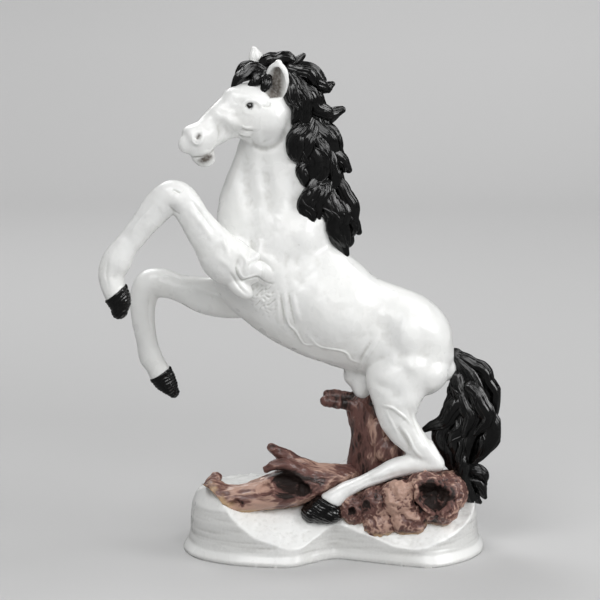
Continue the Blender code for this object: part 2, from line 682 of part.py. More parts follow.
def build_wood(name, lofts, relief, facets, cutters, lumps=()):
    bm = bmesh.new()
    for stations in lofts:
        add_loft(bm, stations, sides=12, steps=3)
    for lump in lumps:
        add_lump(bm, *lump)
    wood = new_object(name, bm, cutters)
    fuse(wood, WOOD_GRAIN, WOOD_BLEND)
    roughen(wood, *relief)
    thin(wood, facets)
    return wood


def hollow_out(obj, name, form, cutters):
    bm = bmesh.new()
    add_lump(bm, *form)
    cut(obj, as_cutter(new_object(name, bm, cutters)))


def main():
    clear_scene()
    parts = collection("rearing_horse_figurine")
    cutters = collection("cutters")
    white = paint("white gloss paint", WHITE, 0.28)
    black = paint("black gloss paint", BLACK, 0.22)
    brown = paint("brown wood paint", WOOD, 0.38)
    eye_paint = paint("black eye", EYE_BLACK, 0.08)

    build_plinth(parts, cutters, white)
    earth = ground_block("earth", SEAT_GAP, -2 * GROUND_LEVEL, cutters)

    horse = build_horse(cutters)
    horse_space = grown(horse, SEAT_GAP, "horse_space", cutters)
    ear_spaces = []
    for name, ear in (("near_ear", NEAR_EAR), ("far_ear", FAR_EAR)):
        add_ear(horse, name, ear, cutters)
        ear_spaces.append(build_ear(name + "_space", ear, SEAT_GAP, cutters))
    cut(horse, earth)
    eyes = build_eyes(horse, cutters)
    hooves = [
        split_hoof(horse, "left_hind_hoof", NEAR_HIND_HOOF, cutters),
        split_hoof(horse, "right_hind_hoof", far_hind_hoof(), cutters),
    ]

    forelegs = []
    for name, stations, hoof in (
        ("left_foreleg", NEAR_FORELEG, NEAR_FORE_HOOF),
        ("right_foreleg", FAR_FORELEG, FAR_FORE_HOOF),
    ):
        bm = bmesh.new()
        add_loft(bm, stations, steps=4)
        leg = new_object(name, bm, cutters)
        fuse(leg, CLAY_GRAIN, LEG_BLEND)
        thin(leg, FORELEG_FACETS)
        cut(leg, horse_space)
        hooves.append(split_hoof(leg, name.replace("leg", "_hoof"), hoof, cutters))
        forelegs.append(leg)

    mane = build_hair("mane", MANE_CREST, MANE_LOCKS, MANE_FACETS, cutters)
    mane_space = grown(mane, SEAT_GAP, "mane_space", cutters)
    forelock = build_hair("forelock", None, FORELOCK_LOCKS, FORELOCK_FACETS, cutters)
    cut(forelock, mane_space)
    for hair in (mane, forelock):
        for space in (horse_space, *ear_spaces):
            cut(hair, space)

    stump = build_wood("tree_stump", [STUMP_TRUNK, *STUMP_TINES], STUMP_RELIEF, STUMP_FACETS, cutters)
    stump_space = grown(stump, SEAT_GAP, "stump_space", cutters)
    cut(stump, horse_space)
    cut(stump, earth)

    log = build_wood("fallen_log", [LOG_TRUNK, *LOG_LIMBS], LOG_RELIEF, LOG_FACETS, cutters)
    hollow_out(log, "log_hollow", LOG_HOLLOW, cutters)
    hollow_out(log, "knot_hole", LOG_KNOT_HOLE, cutters)
    log_space = grown(log, SEAT_GAP, "log_space", cutters)
    cut(log, horse_space)
    cut(log, stump_space)
    cut(log, earth)

    mound = build_wood("rock_mound", [], ROCK_RELIEF, MOUND_FACETS, cutters, MOUND_ROCKS)
    mound_space = grown(mound, SEAT_GAP, "mound_space", cutters)
    cut(mound, horse_space)
    cut(mound, stump_space)
    cut(mound, log_space)
    cut(mound, earth)

    tail = build_hair("tail", TAIL_DOCK, TAIL_LOCKS, TAIL_FACETS, cutters)
    cut(tail, horse_space)
    cut(tail, mound_space)
    cut(tail, earth)

    for piece in (horse, *forelegs):
        finish(piece, white, parts, cutters)
    for piece in (*hooves, mane, forelock, tail):
        finish(piece, black, parts, cutters)
    for piece in (stump, log, mound):
        finish(piece, brown, parts, cutters)
    for piece in eyes:
        finish(piece, eye_paint, parts, cutters)


main()
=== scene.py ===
"""Rearing horse figurine: a hand-painted casting on a snowy plinth, dressed over its solid frame.

The horse faces -X, rears towards +Z and shows its left side to -Y. The tables are in millimetres,
with heights above the plinth's level ground.

A station of a drawn-out form is (x, y, z, half depth, half width): the depth lies in the horse's
long plane, the width across it. A lump is (x, y, z, half size along x, y and z, tilt in degrees).
A lock of hair is (points from root to tip, half breadth, half thickness). A drawn line is
(points as (x, z), half width, height), and a press is (x, z, reach along x and z, tilt, height).
"""

import math

import bmesh
import bpy
import numpy as np
from bpy.props import FloatProperty, FloatVectorProperty, PointerProperty
from mathutils import Matrix, Vector


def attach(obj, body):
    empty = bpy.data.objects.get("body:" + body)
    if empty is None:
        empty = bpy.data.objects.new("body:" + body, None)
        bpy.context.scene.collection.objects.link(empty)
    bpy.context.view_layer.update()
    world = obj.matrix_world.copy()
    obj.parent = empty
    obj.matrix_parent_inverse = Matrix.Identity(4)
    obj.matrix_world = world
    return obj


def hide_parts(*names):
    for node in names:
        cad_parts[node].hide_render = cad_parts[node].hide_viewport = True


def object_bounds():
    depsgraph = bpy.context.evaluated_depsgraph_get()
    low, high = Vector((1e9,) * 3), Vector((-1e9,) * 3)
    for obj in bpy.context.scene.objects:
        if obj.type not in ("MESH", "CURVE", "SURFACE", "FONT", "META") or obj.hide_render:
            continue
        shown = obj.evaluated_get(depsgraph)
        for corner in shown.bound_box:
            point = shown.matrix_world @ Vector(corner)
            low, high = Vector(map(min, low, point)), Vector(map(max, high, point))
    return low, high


bl_info = {
    "name": "Rearing Horse Figurine",
    "version": (1, 0, 0),
    "blender": (4, 5, 0),
    "location": "3D View > Sidebar > Figurine",
    "description": "Models and paints a cast rearing horse on its snowy plinth",
    "category": "Object",
}

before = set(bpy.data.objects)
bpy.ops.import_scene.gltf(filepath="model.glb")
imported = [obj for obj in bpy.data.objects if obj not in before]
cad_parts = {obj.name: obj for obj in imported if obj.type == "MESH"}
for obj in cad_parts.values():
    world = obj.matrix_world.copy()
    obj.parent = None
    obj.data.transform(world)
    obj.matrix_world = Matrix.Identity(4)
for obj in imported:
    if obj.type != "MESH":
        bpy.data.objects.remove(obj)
cad_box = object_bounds()

MM = 0.001
GROUND_LEVEL = 34.0
# How deep a piece may sit in the snow.
SEAT_DEPTH = 0.8
# The most triangles that a finished casting keeps.
MOST_TRIANGLES = 190000

# How forms are fused before they are worked: spacing of the points, and rounds of smoothing.
HORSE_BLEND = (1.0 * MM, 12)
HIND_LEG_BLEND = (0.6 * MM, 4)
FORELEG_BLEND = (0.7 * MM, 8)
HOOF_BLEND = (0.35 * MM, 3)
WOOD_BLEND = (0.7 * MM, 3)
FINE_ROUNDS = 3
SNOW_ROUNDS = 2
# Soft reliefs of a casting: name, size of the blobs, height.
HORSE_RELIEF = (("casting_waves", 13.0, 1.0), ("casting_dents", 4.5, 0.3))
FORELEG_RELIEF = (("_waves", 9.0, 0.7), ("_dents", 3.5, 0.25))
HOOF_RELIEF = (("_brush", 3.0, 0.5),)
# How many rounds of neighbours tell a hollow from a ridge.
WEAR_ROUNDS = 3
# How strongly hollows take the painted shade of the white paint, or the dark stain of the wood.
CASTING_SHADE = 6
WOOD_DUST = 5
SNOW_SHADE = 4
# Sizes of the lumps, ridges, crumbs and grit of wood and rock.
WOOD_LUMPS = 12.0
WOOD_RIDGES = 7.0
WOOD_CRUMBS = 4.0
WOOD_GRIT = 2.2
# How high the grit stands, and how deep the ridged grain cuts as a share of the lumps.
GRIT_HEIGHT = 0.4
RIDGE_SHARE = 0.55
# How softly the painted shade in a hollow and a rubbed spot fade at their edges.
CAVE_FADE = 0.3
RUB_FADE = 0.8
# How far above the snow the sand reaches, and over what height it fades.
SAND_TOP = 4.5
SAND_FADE = 3.5
# Reliefs of the plinth: name, where, size of the blobs, detail, height, and stretch.
PLINTH_RELIEF = (
    ("snow_drifts", "snow", 10.0, 2, 1.5, (1, 1, 1)),
    ("snow_lumps", "snow", 3.5, 2, 0.8, (1, 1, 1)),
    ("scrapes", "wall", 1.8, 1, 0.5, (16, 16, 1)),
    ("wall_waves", "wall", 8.0, 1, 0.8, (3.5, 3.5, 1)),
)
# How many points a ring of a drawn-out form has, and how many rings lie from station to station.
TORSO_SIDES = 48
NECK_SIDES = 44
HEAD_SIDES = 40
EAR_SIDES = 32
LEG_SIDES = 40
WOOD_SIDES = 36
LOCK_SIDES = 52
CREST_SIDES = 60
FOLD_SIDES = 20
STRAND_SIDES = 6
BODY_STEPS = 6
LEG_STEPS = 7
CREST_STEPS = 7
WOOD_STEPS = 6
HAIR_STEPS = 3
LUMP_SIDES = 48
LUMP_RINGS = 24
# A lock: width at its root, how much it swells and by where, how it tapers, and how it sways.
LOCK_ROOT = 0.72
LOCK_SWELL = 0.28
LOCK_FULL_BY = 0.4
LOCK_TAPER = 0.68
LOCK_BLUNTNESS = 3.4
LOCK_SWAY = 0.22
LOCK_SWAY_LENGTH = 3.2
# The thin strands over a lock: how many, how thick, and how deep they lie in it.
STRANDS = 3
STRAND_THICKNESS = 0.14
STRAND_THINNEST = 0.25
STRAND_OUT = 0.93
# The thinnest half width of a ring, and the rings that dome an end: how far out, and how wide.
THINNEST = 0.2
END_DOME = ((0.35, 0.94), (0.65, 0.76), (0.87, 0.49), (0.97, 0.24))
# How far from the middle plane a needle starts that marks the body, and one that marks the head.
BODY_NEEDLE = 100
HEAD_NEEDLE = 40

TORSO = [
    (-47, 0, 152, 12, 12), (-40, 0, 148, 23, 18), (-27, 0, 140, 31, 22), (-13, 0, 132, 34, 25),
    (1, 0, 123, 35, 27), (16, 0, 113, 33, 28), (31, 0, 105, 30, 27.5), (46, 0, 100, 28, 26),
    (61, 0, 94, 28, 26), (74, 0, 86, 24, 22), (83, 0, 79, 13.5, 15), (86, 0, 76, 8.5, 10),
]
NECK = [
    (-10, 0, 142, 32, 23), (-14, 0, 162, 35, 19.5), (-15, 0, 178, 33, 15.5),
    (-14.5, 0, 192, 28.5, 13.5), (-14, 0, 206, 24, 12), (-12, 0, 219, 20, 11),
    (-10, -1, 232, 14, 10.5), (-9, -2, 241, 9, 9),
]
HEAD = [
    (-7, 0, 237, 11, 8), (-14, -3, 233, 16, 11.5), (-23, -7, 230, 18.5, 13),
    (-33, -11, 229.4, 17.2, 13.2), (-42, -14, 226.4, 13.2, 9.8), (-50, -17, 221.6, 10.6, 8),
    (-56, -20, 217.8, 9.4, 7.5), (-61.5, -22, 215.4, 9.6, 7.8), (-64.7, -23.4, 213.5, 8.4, 7),
    (-66, -24, 213, 5.8, 5),
]
# The way across the turned head, from its near to its far cheek.
HEAD_ACROSS = (-0.36, 0.93, 0.0)
NEAR_FORELEG = [
    (-22.5, -17, 138, 6.6, 8.5), (-31, -20, 140, 11.5, 10.5), (-43, -23, 145, 14.5, 10.5),
    (-52, -24, 156, 11.3, 9.5), (-61, -25, 169, 9.2, 8.3), (-69, -25, 181, 9.2, 8.5),
    (-76, -25, 182.5, 9.6, 8.8), (-84, -25, 175, 9, 7.6), (-92, -25, 165, 7.6, 6.6),
    (-101, -25, 154, 7.4, 6.2), (-107, -25, 145, 8.8, 7.5), (-110.5, -25, 137, 7.8, 7),
    (-109.5, -25, 129, 7, 7.4), (-107, -25, 124, 7.4, 8), (-106, -25, 119, 6.8, 7.6),
    (-106, -25, 115, 5, 6.2),
]
FAR_FORELEG = [
    (-18, 9, 124, 15, 10), (-34, 15, 118, 14, 11), (-47, 18, 116, 13, 10.5), (-60, 20, 117, 11, 9),
    (-73, 20, 121, 8.2, 8.5), (-83, 20, 124, 8.8, 9), (-91, 20, 123, 9, 8.8),
    (-95, 20, 113, 8, 7.4), (-95, 20, 101, 7, 6.4), (-93, 20, 89, 6.3, 6.4),
    (-91, 20, 79, 7, 7.4), (-87, 20, 72, 6.4, 7.4),
    (-83, 20, 65, 7.2, 7.8), (-79.5, 20, 60, 5.6, 7), (-77, 20, 56.5, 3.6, 5),
]
NEAR_HIND_LEG = [
    (67, -9, 92, 24, 13), (61, -14, 79, 21, 14), (58, -18, 64.5, 16.5, 12),
    (57.4, -20, 52, 12, 9.5), (60, -21, 44.5, 10.4, 8.6), (66, -21, 37, 8.8, 8),
    (74, -22, 29.5, 6.6, 7.4), (81.4, -22, 22.6, 5, 6),
]
NEAR_CANNON = [
    (82, -22, 21.5, 4.6, 6), (73, -22, 22, 6, 7), (64, -22, 21, 6.2, 7), (55, -23, 18.8, 5.8, 6.8),
    (46, -24, 15, 4.7, 6.4), (38.5, -24, 11.8, 4, 6.6), (32, -25, 9.2, 4.5, 7),
    (26, -25, 5.8, 5, 7.4), (20, -26, 1.4, 6, 8.2), (11, -26, -5, 7.5, 9), (6.5, -26, -7, 6, 8),
]
ELBOW = (-36, -24, 129.5, 10, 7, 5.4, 42)
HIND_HEEL = (17, -26, -7, 9, 8.5, 6.5, 0)
# How the far hind leg differs from the near one.
FAR_LEG_FORWARD = 11.0
FAR_HOOF_BACK = 24.0
FAR_HOOF_LIFT = 5.5
# How high a hoof's ridges and its rim at the coronet stand.
HOOF_RIDGE = 0.12
HOOF_RIM = 0.7
# How far from a coronet its cut reaches, in metres.
FORE_CUT = 0.026
HIND_CUT = 0.04
# How many of a leg's last stations lie in its hoof.
FORE_HOOF_STATIONS = 7
HIND_HOOF_STATIONS = 5

# Muscles raised (+) or hollowed (-) on both sides: x, y, z, reach along each, tilt, height.
MUSCLES = [
    (-13, 20, 154, 9, 14, 22, 38, 2.6), (-23, 26, 138, 8, 12, 8, 0, 3.2),
    (-43, 9, 145, 8, 10, 12, 20, 2.2), (3, 25, 136, 6, 14, 24, 40, -2),
    (14, 26, 114, 18, 14, 13, 30, 1.4), (41, 24, 104, 7, 14, 17, 25, -2.6),
    (69, 18, 97, 18, 14, 15, 30, 3.2), (47, 20, 72, 9, 12, 11, 0, 3.4),
    (77, 12, 73, 9, 12, 9, 0, 1.0),
    (58, 24, 88, 5, 10, 20, -25, -1.4), (-31.5, 12, 186, 6, 10, 26, -12, -3.0),
    (-20, 14, 188, 4.5, 10, 22, -6, -2.2), (6, 14, 188, 8, 12, 26, 10, 1.2),
]
# The same on both cheeks, with y across the head's own middle plane.
FACE = [
    (-19, 12, 226, 10, 9, 10, 0, 2.6), (-33, 13, 240, 7, 8, 3.4, 20, 2),
    (-46, 9, 228, 9, 7, 3, 32, 1.4), (-44, 9, 219, 7, 8, 4.5, 20, -1.6),
    (-61, 7, 217, 4.5, 6, 4.5, 0, 1.5), (-42, 4, 243, 4.5, 6, 4, 25, 1.2),
]
CHIN = (-56.5, -20, 206, 7.6, 6.2, 6.4, 15)
SHEATH = (33, 0, 72, 7, 7, 8, 0)
STIFLE = (37, -2, 67, 6.5, 8, 10, 0)
BUTTOCK = (76, 9, 73.5, 14, 16, 11, -42)

EYE_RADIUS = 4.0
EYE_AT = (-33.0, 9.7, 234.8)

# An ear: root, tip, half width, half thickness, and the way across it.
NEAR_EAR = ((-14.5, -10, 238), (-12.5, -14, 259.6), 7.4, 3.2, (0.94, -0.34, 0))
FAR_EAR = ((-20, 3, 242), (-27, 6, 265.7), 6.4, 3.4, (0.8, 0.6, 0))

# How broad an ear is on its way from root to tip.
EAR_PROFILE = [
    (0.0, 0.5), (0.22, 0.84), (0.48, 1.0), (0.7, 0.95), (0.86, 0.76), (0.95, 0.52), (1.0, 0.3),
]
# How deep the cup of each ear is scooped.
NEAR_EAR_CUP = 2.6
FAR_EAR_CUP = 2.2

# Where a hoof starts on its leg: a point of the coronet and the way to the toe.
NEAR_FORE_CORONET = ((-110, -25, 124.5), (0.62, 0, -0.78))
FAR_FORE_CORONET = ((-85, 20, 68.5), (0.55, 0, -0.83))
NEAR_HIND_CORONET = ((17, -26, 0.5), (-0.45, 0, -0.89))

MANE_LOCKS = [
    ([(-22, -2, 255), (-18, -2, 260.5), (-10, -2, 261), (-4, -1, 259), (2, -1, 263)], 4.8, 4.5),
    ([(-9, 0, 255), (0, 0, 255), (9, 1, 250), (15, 0, 245), (19, 0, 246)], 5.6, 5.5),
    ([(-3, -2, 251), (3, -2, 243), (9, -1, 234), (16, 0, 227.5), (25, 0, 231)], 7.2, 6),
    ([(-6, -7, 252), (-2, -11, 243), (-1, -12, 233), (3, -12, 223)], 5, 4),
    ([(4, -9, 227), (0, -13, 217), (-1, -14, 209), (0, -13, 201)], 5.6, 4.2),
    ([(7, -4, 226), (15, -3, 218), (21, -3, 207), (29, -1, 195)], 6.6, 5.5),
    ([(5, -9, 215), (8, -12, 205), (9, -12, 195), (14, -10, 186)], 7.4, 4.5),
    ([(12, -10, 190), (7, -14, 182), (6, -15, 174), (7, -14, 165)], 5.8, 4),
    ([(18, -2, 194), (24, -2, 183), (29, -2, 172), (35, -1, 158)], 6.2, 5.5),
    ([(12, -9, 186), (17, -10, 174), (21, -9, 162), (27, -6, 145)], 8.0, 4.5),
    ([(-3, 6, 249), (2, 9, 236), (3, 11, 221), (0, 12, 204)], 6.5, 4.2),
    ([(7, 8, 227), (11, 11, 212), (8, 14, 193)], 6.5, 4.2),
    ([(15, 8, 200), (19, 11, 184), (15, 14, 167)], 6.5, 4.2),
    ([(23, 6, 176), (27, 8, 162), (26, 9, 146)], 5.6, 4.2),
]
# Lobes laid over the near side of the mane, curled at their tips.
MANE_WAVES = [
    ([(-10, -7, 250), (-6, -10.5, 243), (-3, -12, 236), (-2, -12.5, 229), (-4, -12, 224)],
     4.6, 3.4),
    ([(-4, -8, 252), (1, -11, 245), (3, -12.5, 237), (4, -13, 229), (1, -13, 223)], 4.6, 3.4),
    ([(-6, -6, 256), (2, -8, 254), (9, -6, 249), (14, -3, 244), (17, -2, 242)], 4.4, 3.6),
    ([(-2, -9, 246), (5, -10, 241), (11, -8, 233), (17, -5, 228), (22, -3, 229)], 5.2, 3.8),
    ([(6, -10, 226), (1, -13.5, 219), (-3.5, -14, 212), (-4, -13.5, 206), (0, -13, 202)], 5.4, 3.6),
    ([(8, -11, 222), (6, -14, 214), (3, -14.5, 207), (4, -14, 201)], 4.4, 3.2),
    ([(8, -8, 224), (15, -8, 216), (20, -6, 207), (25, -4, 199), (26, -3, 195)], 5.4, 4),
    ([(9, -11, 216), (12, -12.5, 208), (14, -12.5, 199), (11, -13, 192), (6, -13, 188)], 5.6, 3.6),
    ([(15, -8, 208), (19, -9, 199), (20, -9, 190), (17, -10, 184)], 5, 3.6),
    ([(5, -11, 203), (2, -13, 197), (2, -13.5, 191), (5, -13, 187)], 4.2, 3),
    ([(14, -11, 192), (8, -14, 186), (4.5, -15, 179), (4, -15, 172), (7, -14.5, 166)], 5.6, 3.6),
    ([(17, -10, 189), (13, -13, 182), (10, -13.5, 174), (11, -13, 168)], 4.6, 3.2),
    ([(21, -7, 190), (27, -7, 182), (30, -6, 172), (32, -5, 163), (31, -4, 157)], 5.2, 4),
    ([(17, -10, 184), (20, -11, 174), (20, -11, 165), (23, -9.5, 156), (26, -7, 149)], 5.6, 3.8),
    ([(23, -7, 180), (26, -8.5, 170), (26, -9, 160), (29, -7, 151)], 4.6, 3.6),
]
MANE_CREST = [
    (-16, -1, 253, 5, 7), (-6, 0, 249, 8, 7.5), (3, 0, 238, 9, 8.5), (9, 0, 223, 9, 9),
    (13, 0, 206, 9.5, 9.5), (18, 0, 188, 9, 9.5), (23, 0, 170, 8, 9), (28, 0, 153, 4.5, 6),
]
FORELOCK_LOCKS = [
    ([(-17, -4, 252), (-27, -7, 255), (-34, -10, 252), (-39, -12, 245)], 4.6, 4),
    ([(-18, -8, 253), (-25, -12, 250), (-30, -14, 245)], 4.2, 3.6),
    ([(-17, -10, 251), (-20, -14, 248), (-22, -16, 242)], 3.8, 3),
    ([(-20, -1, 253), (-29, 1, 255), (-35, 1, 251), (-38, -2, 245)], 4.6, 4),
]
TAIL_DOCK = [
    (93, 0, 83, 5, 5), (102, 0, 73, 8, 8), (106, 0, 61, 10.5, 10), (105, 0, 47, 12, 11),
    (101, 0, 35, 10, 10), (98, 0, 22, 7.5, 8), (99, 0, 8, 5.5, 7), (103, -1, -3, 5, 6),
]
TAIL_LOCKS = [
    ([(96, -1, 83), (108, -2, 76), (115, -3, 65), (117, -3, 52), (112, -2, 41)], 4.6, 6),
    ([(108, -5, 56), (114, -7, 43), (112, -7, 29), (104, -5, 19)], 7, 6),
    ([(94, -4, 71), (96, -6, 57), (87, -7, 46), (75, -5, 39)], 6.2, 5.5),
    ([(93, -2, 49), (86, -4, 36), (89, -5, 23), (97, -5, 10)], 6, 5.5),
    ([(97, -6, 33), (96, -8, 18), (99, -8, 5), (104, -6, -7)], 5, 4.5),
    ([(98, 2, 15), (105, 1, 13), (110, 0, 9), (112, 0, 4)], 4.8, 4.4),
    ([(99, 1, 7), (105, 0, 5), (110, -1, 1), (112, -1, -4)], 4.6, 4.2),
    ([(100, 1, 0), (105, 0, -3), (109, -1, -7)], 4.2, 4),
    ([(99, 5, 74), (109, 8, 58), (109, 8, 39), (102, 7, 23)], 6.5, 5.5),
    ([(95, 5, 67), (92, 8, 50), (88, 7, 36)], 6, 5),
    ([(98, -4, 50), (94, -6, 39), (92, -6, 28), (96, -6, 15)], 6, 5),
    ([(101, -8, 66), (109, -10, 56), (111, -10, 45), (105, -9, 37)], 6, 4.4),
    ([(96, -8, 60), (101, -10, 48), (98, -10, 36)], 5, 4),
]

STUMP_TRUNK = [
    (49, 4, -6, 19, 16), (47, 3, 6, 18, 14), (44.5, 2, 16, 16, 12), (43, 1, 25, 13.5, 11),
    (41, 0, 35, 10.5, 9.5), (38, 0, 45, 8.5, 8.5), (36, 0, 53, 8, 7.5), (38, 0, 58, 5, 5),
]
STUMP_TINES = [
    [(42, 2, 57, 3.2, 4), (28, 1, 58, 2.9, 4), (16, 0, 60, 2.6, 3.2)],
    [(38, -2, 52, 4.2, 5.5), (27, -2, 54.5, 3.6, 4.8), (15, -3, 56, 2.9, 3.2)],
]
LOG_TRUNK = [
    (-52, -22, 6, 6, 8), (-45, -23, 2, 7, 10), (-36, -23, 1, 8, 12), (-25, -22, 3, 8.5, 13),
    (-15, -21, 5, 10.5, 14), (-5, -19, 7, 12, 14), (5, -17, 9, 10.5, 12), (13, -13, 11, 8, 10),
    (22, -9, 12, 6, 9), (30, -4, 12, 5, 7),
]
LOG_LIMBS = [
    [(-51, -21, 3, 4, 5), (-53, -20, 8, 4, 4.6), (-50, -18, 12.5, 3, 3.6)],
    [(10, -12, 12, 6.5, 7), (0, -14, 19, 5, 5.4), (-8, -16, 25, 3.8, 4.2),
     (-17, -18, 31, 2.6, 2.8)],
    [(3, -20, 14, 5.5, 6), (-7, -24, 21, 3.6, 4), (-14, -26, 22, 3, 3.4),
     (-20, -26, 19.5, 2.4, 2.8)],
]
LOG_HOLLOWS = [
    (-8, -35.5, 12, 12, 13, 7.4, 8), (-19, -36, 10, 8, 9, 4.4, -12), (1, -33, 8.5, 6, 9, 5, 25),
    (-38.5, -37, 0, 5, 6.5, 4, 0),
]
MOUND_ROCKS = [
    (32, -26, -5, 9, 8, 9, 0), (45, -27, -2, 11, 10, 11, 10), (59, -30, 2, 12, 11, 12, 0),
    (75, -28, 5, 13, 12, 13, 0), (88, -23, 4, 11, 12, 12, 20), (48, -31, -13, 10, 7.5, 8, 0),
    (64, -34, -10, 11, 8, 9, 0), (80, -31, -3, 13, 9, 10, 0), (84, -8, 3, 17, 16, 11, 0),
    (66, 12, 2, 22, 18, 10, 0), (44, 26, 2, 20, 14, 9, 0), (56, -14, 2, 16, 16, 10, 0),
]
MOUND_CAVES = [
    (78.5, -42, 5.5, 13.5, 12, 9.6, -8), (31, -36, -4.5, 2.6, 6, 2.8, 0),
    (39, -38.5, 1, 2.2, 5, 2.6, 0),
]
MOUND_FOLD = [
    (68.5, -37, 13, 1.4, 4), (69.5, -36.5, 5, 1.6, 4.5), (73.5, -36.5, -1.5, 1.6, 4.5),
    (82, -37, -6, 1.4, 3),
]
STUMP_ROOTS = [(53, -8, 27.5, 9, 10, 8.5, 28), (47, -5, 37, 6, 8, 11, 14)]
# Lumps in which the stain is rubbed to a pink tan (+) or lies darker (-), with how much.
LOG_RUBS = [
    (-31, -35, 4, 13, 10, 9, 0, 1.7), (-44, -33, 1, 6, 8, 6, 0, 0.9), (3, -34, -1, 7, 8, 5, 0, 0.8),
    (-6, -19, 24, 18, 12, 7, 25, -0.5), (14, -14, 14, 5, 9, 5, 0, 0.7),
]
MOUND_RUBS = [
    (59, -42, 1, 6, 12, 11, 0, 1.8), (47, -42, -9, 8, 10, 5, 0, 1.3),
    (70.5, -39, 4, 2.8, 8, 11, -20, 1.4), (70, -40, -4, 9, 8, 3, 0, 1.2),
    (36, -36, -3, 8, 10, 9, 0, -0.35),
]
STUMP_RUBS = [
    (30, 0, 57, 22, 10, 6, 0, -0.45), (40, -4, 40, 8, 12, 9, 0, -0.15),
    (46, -9, 31, 9, 11, 10, 0, 0.8),
]

PLINTH_OUTLINE = [
    (-69, -14), (-60, -32), (-38, -46), (-8, -51), (8, -40), (20, -32), (36, -37), (60, -47),
    (78, -51), (95, -40), (107, -22), (111, -3), (109, 18), (95, 38), (66, 48), (38, 45),
    (14, 42), (-14, 49), (-42, 48), (-61, 32), (-69, 10),
]
# The plinth's wall: height above the table, and inset from the outline.
PLINTH_WALL = [
    (0.0, 0.0), (2.0, 0.0), (6.5, 2.6), (12.0, 3.8), (22.0, 4.2), (30.0, 5.6), (37.0, 9.0),
    (42.5, 14.5), (46.0, 22.0), (48.0, 32.0),
]
# How many points lie between two of the outline's.
OUTLINE_STEPS = 8
# The flared foot's height, and how near the table a point belongs to the flat underside.
FOOT_HEIGHT = 9
UNDERSIDE = 0.6
# The block over the snow, in metres, its grid, and the steps of the plinth's vertex groups.
SKY_SIZE = (0.26, 0.15)
SKY_HEIGHT = 0.1
SKY_COLUMNS = 130
SKY_ROWS = 90
GROUP_LEVELS = 8
# Rounded scoops (-) and humps (+) of the ground: x, y, reach along x and y, height.
GROUND_SHAPE = [
    (-29, -66, 24, 24, -24.0), (43, -57, 54, 24, -34.0), (12, -41, 26, 20, -9.0),
    (100, -50, 18, 48, -13.0), (-57, -27, 12, 15, 12.0),
]

# Lines of the body, drawn on both sides.
BODY_LINES = [
    ([(-11, 125), (-9, 115), (-6, 106.6), (-2.4, 102.5), (0.6, 97), (3.4, 94), (9.8, 94.5)],
     0.75, 0.8),
    ([(6, 98.5), (11, 93.5), (18, 92), (24, 91), (27.7, 89), (30, 85), (35, 82.5)], 0.75, 0.85),
    ([(46, 99), (42.5, 93), (38.4, 86), (36.5, 79)], 1.3, 0.75),
    ([(41.5, 96), (38, 90), (35.4, 84)], 1.4, -0.7),
    ([(-13, 125), (-12.4, 116), (-12, 107)], 1.5, 0.8),
    ([(-9.4, 126), (-7.9, 116), (-6.2, 105)], 1.3, 0.9),
    ([(-4, 124.5), (-2.3, 116), (0, 108.5)], 1.6, 0.7),
    ([(-11.2, 125), (-10.2, 116), (-9.4, 106)], 0.9, -0.7),
    ([(-6.6, 125), (-5.2, 116), (-3, 106)], 0.9, -0.7),
    ([(-7, 150), (-8, 140), (-7, 128)], 2.6, -0.5),
    ([(60.6, 45), (64.1, 39.7), (67.6, 32.5), (72, 27.5)], 1.1, 1.2),
    ([(57.5, 46), (60.5, 41), (63.4, 35.6), (65, 29.5)], 1.8, -1.3),
    ([(50, 24), (40, 18), (34, 15)], 1.2, -0.5),
    ([(48.5, 58.6), (52, 58.4), (55.7, 57), (62.6, 51), (67, 45.6)], 0.8, 0.9),
    ([(50.5, 56), (54, 49), (57.8, 42)], 0.9, 0.5),
    ([(66.5, 60), (72, 47), (77.5, 36), (83, 27)], 1.3, 0.8),
    ([(64, 56), (69, 45), (74, 35)], 1.3, -0.7),
    ([(62, 19), (50, 15.5), (38, 12), (28, 6)], 1.2, -0.5),
]
# Soft presses of the thumb on the body.
BODY_PRESSES = [
    (51, 103, 7, 11, 25, -2.4), (74, 93, 6.5, 10, 10, -2.0), (61, 104, 4, 11, 20, 1.4),
    (55, 88, 4.5, 4.5, 0, 1.4), (66, 82, 5.5, 4, 0, 1.4), (47, 71, 6, 3, 20, -1.2),
    (4, 157, 9, 6, 40, 1.0), (-1, 177, 5, 7, 0, -1.8), (36, 122, 10, 6, 30, 0.8),
    (11, 122, 8, 10, 30, 0.9), (31, 106, 9, 8, 20, 0.8), (-2, 142, 6, 8, 20, -1.2),
    (57, 66, 5, 5, 0, -1.2), (70, 66, 4, 6, 0, -0.8),
]
# The shoulder and its glued leg, on the near side only.
SHOULDER_LINES = [
    ([(-31, 142.4), (-27.5, 144.8), (-23, 145.2), (-18.5, 142.6), (-15.4, 138)], 1.0, -0.8),
    ([(-27, 147.4), (-22, 148), (-16.5, 145), (-13, 139.5)], 1.8, 0.4),
    ([(-37.6, 142), (-36.4, 137), (-34, 133.8), (-29.8, 134.4), (-25, 135.4), (-20.5, 132),
      (-16, 131)], 0.65, -1.5),
    ([(-36.4, 143), (-34.8, 138), (-32.6, 135.8), (-29, 136.4), (-25, 137.2)], 0.8, 0.7),
    ([(-34.6, 150), (-31.4, 145), (-32.4, 139)], 1.2, 1.0),
    ([(-23.8, 157), (-23.6, 151), (-25.2, 147)], 2.4, 1.1),
    ([(-29.4, 156), (-28.6, 151), (-29.4, 147)], 2.0, -1.0),
    ([(-41, 139), (-36, 131), (-31, 125.5)], 1.0, -0.9),
]
SHOULDER_PRESSES = [
    (-22.6, 139, 6, 4.4, 30, 1.4), (-24.5, 128, 7, 4.6, 0, -2.2),
    (-36.5, 144.5, 1.5, 3.4, 10, -1.4),
]
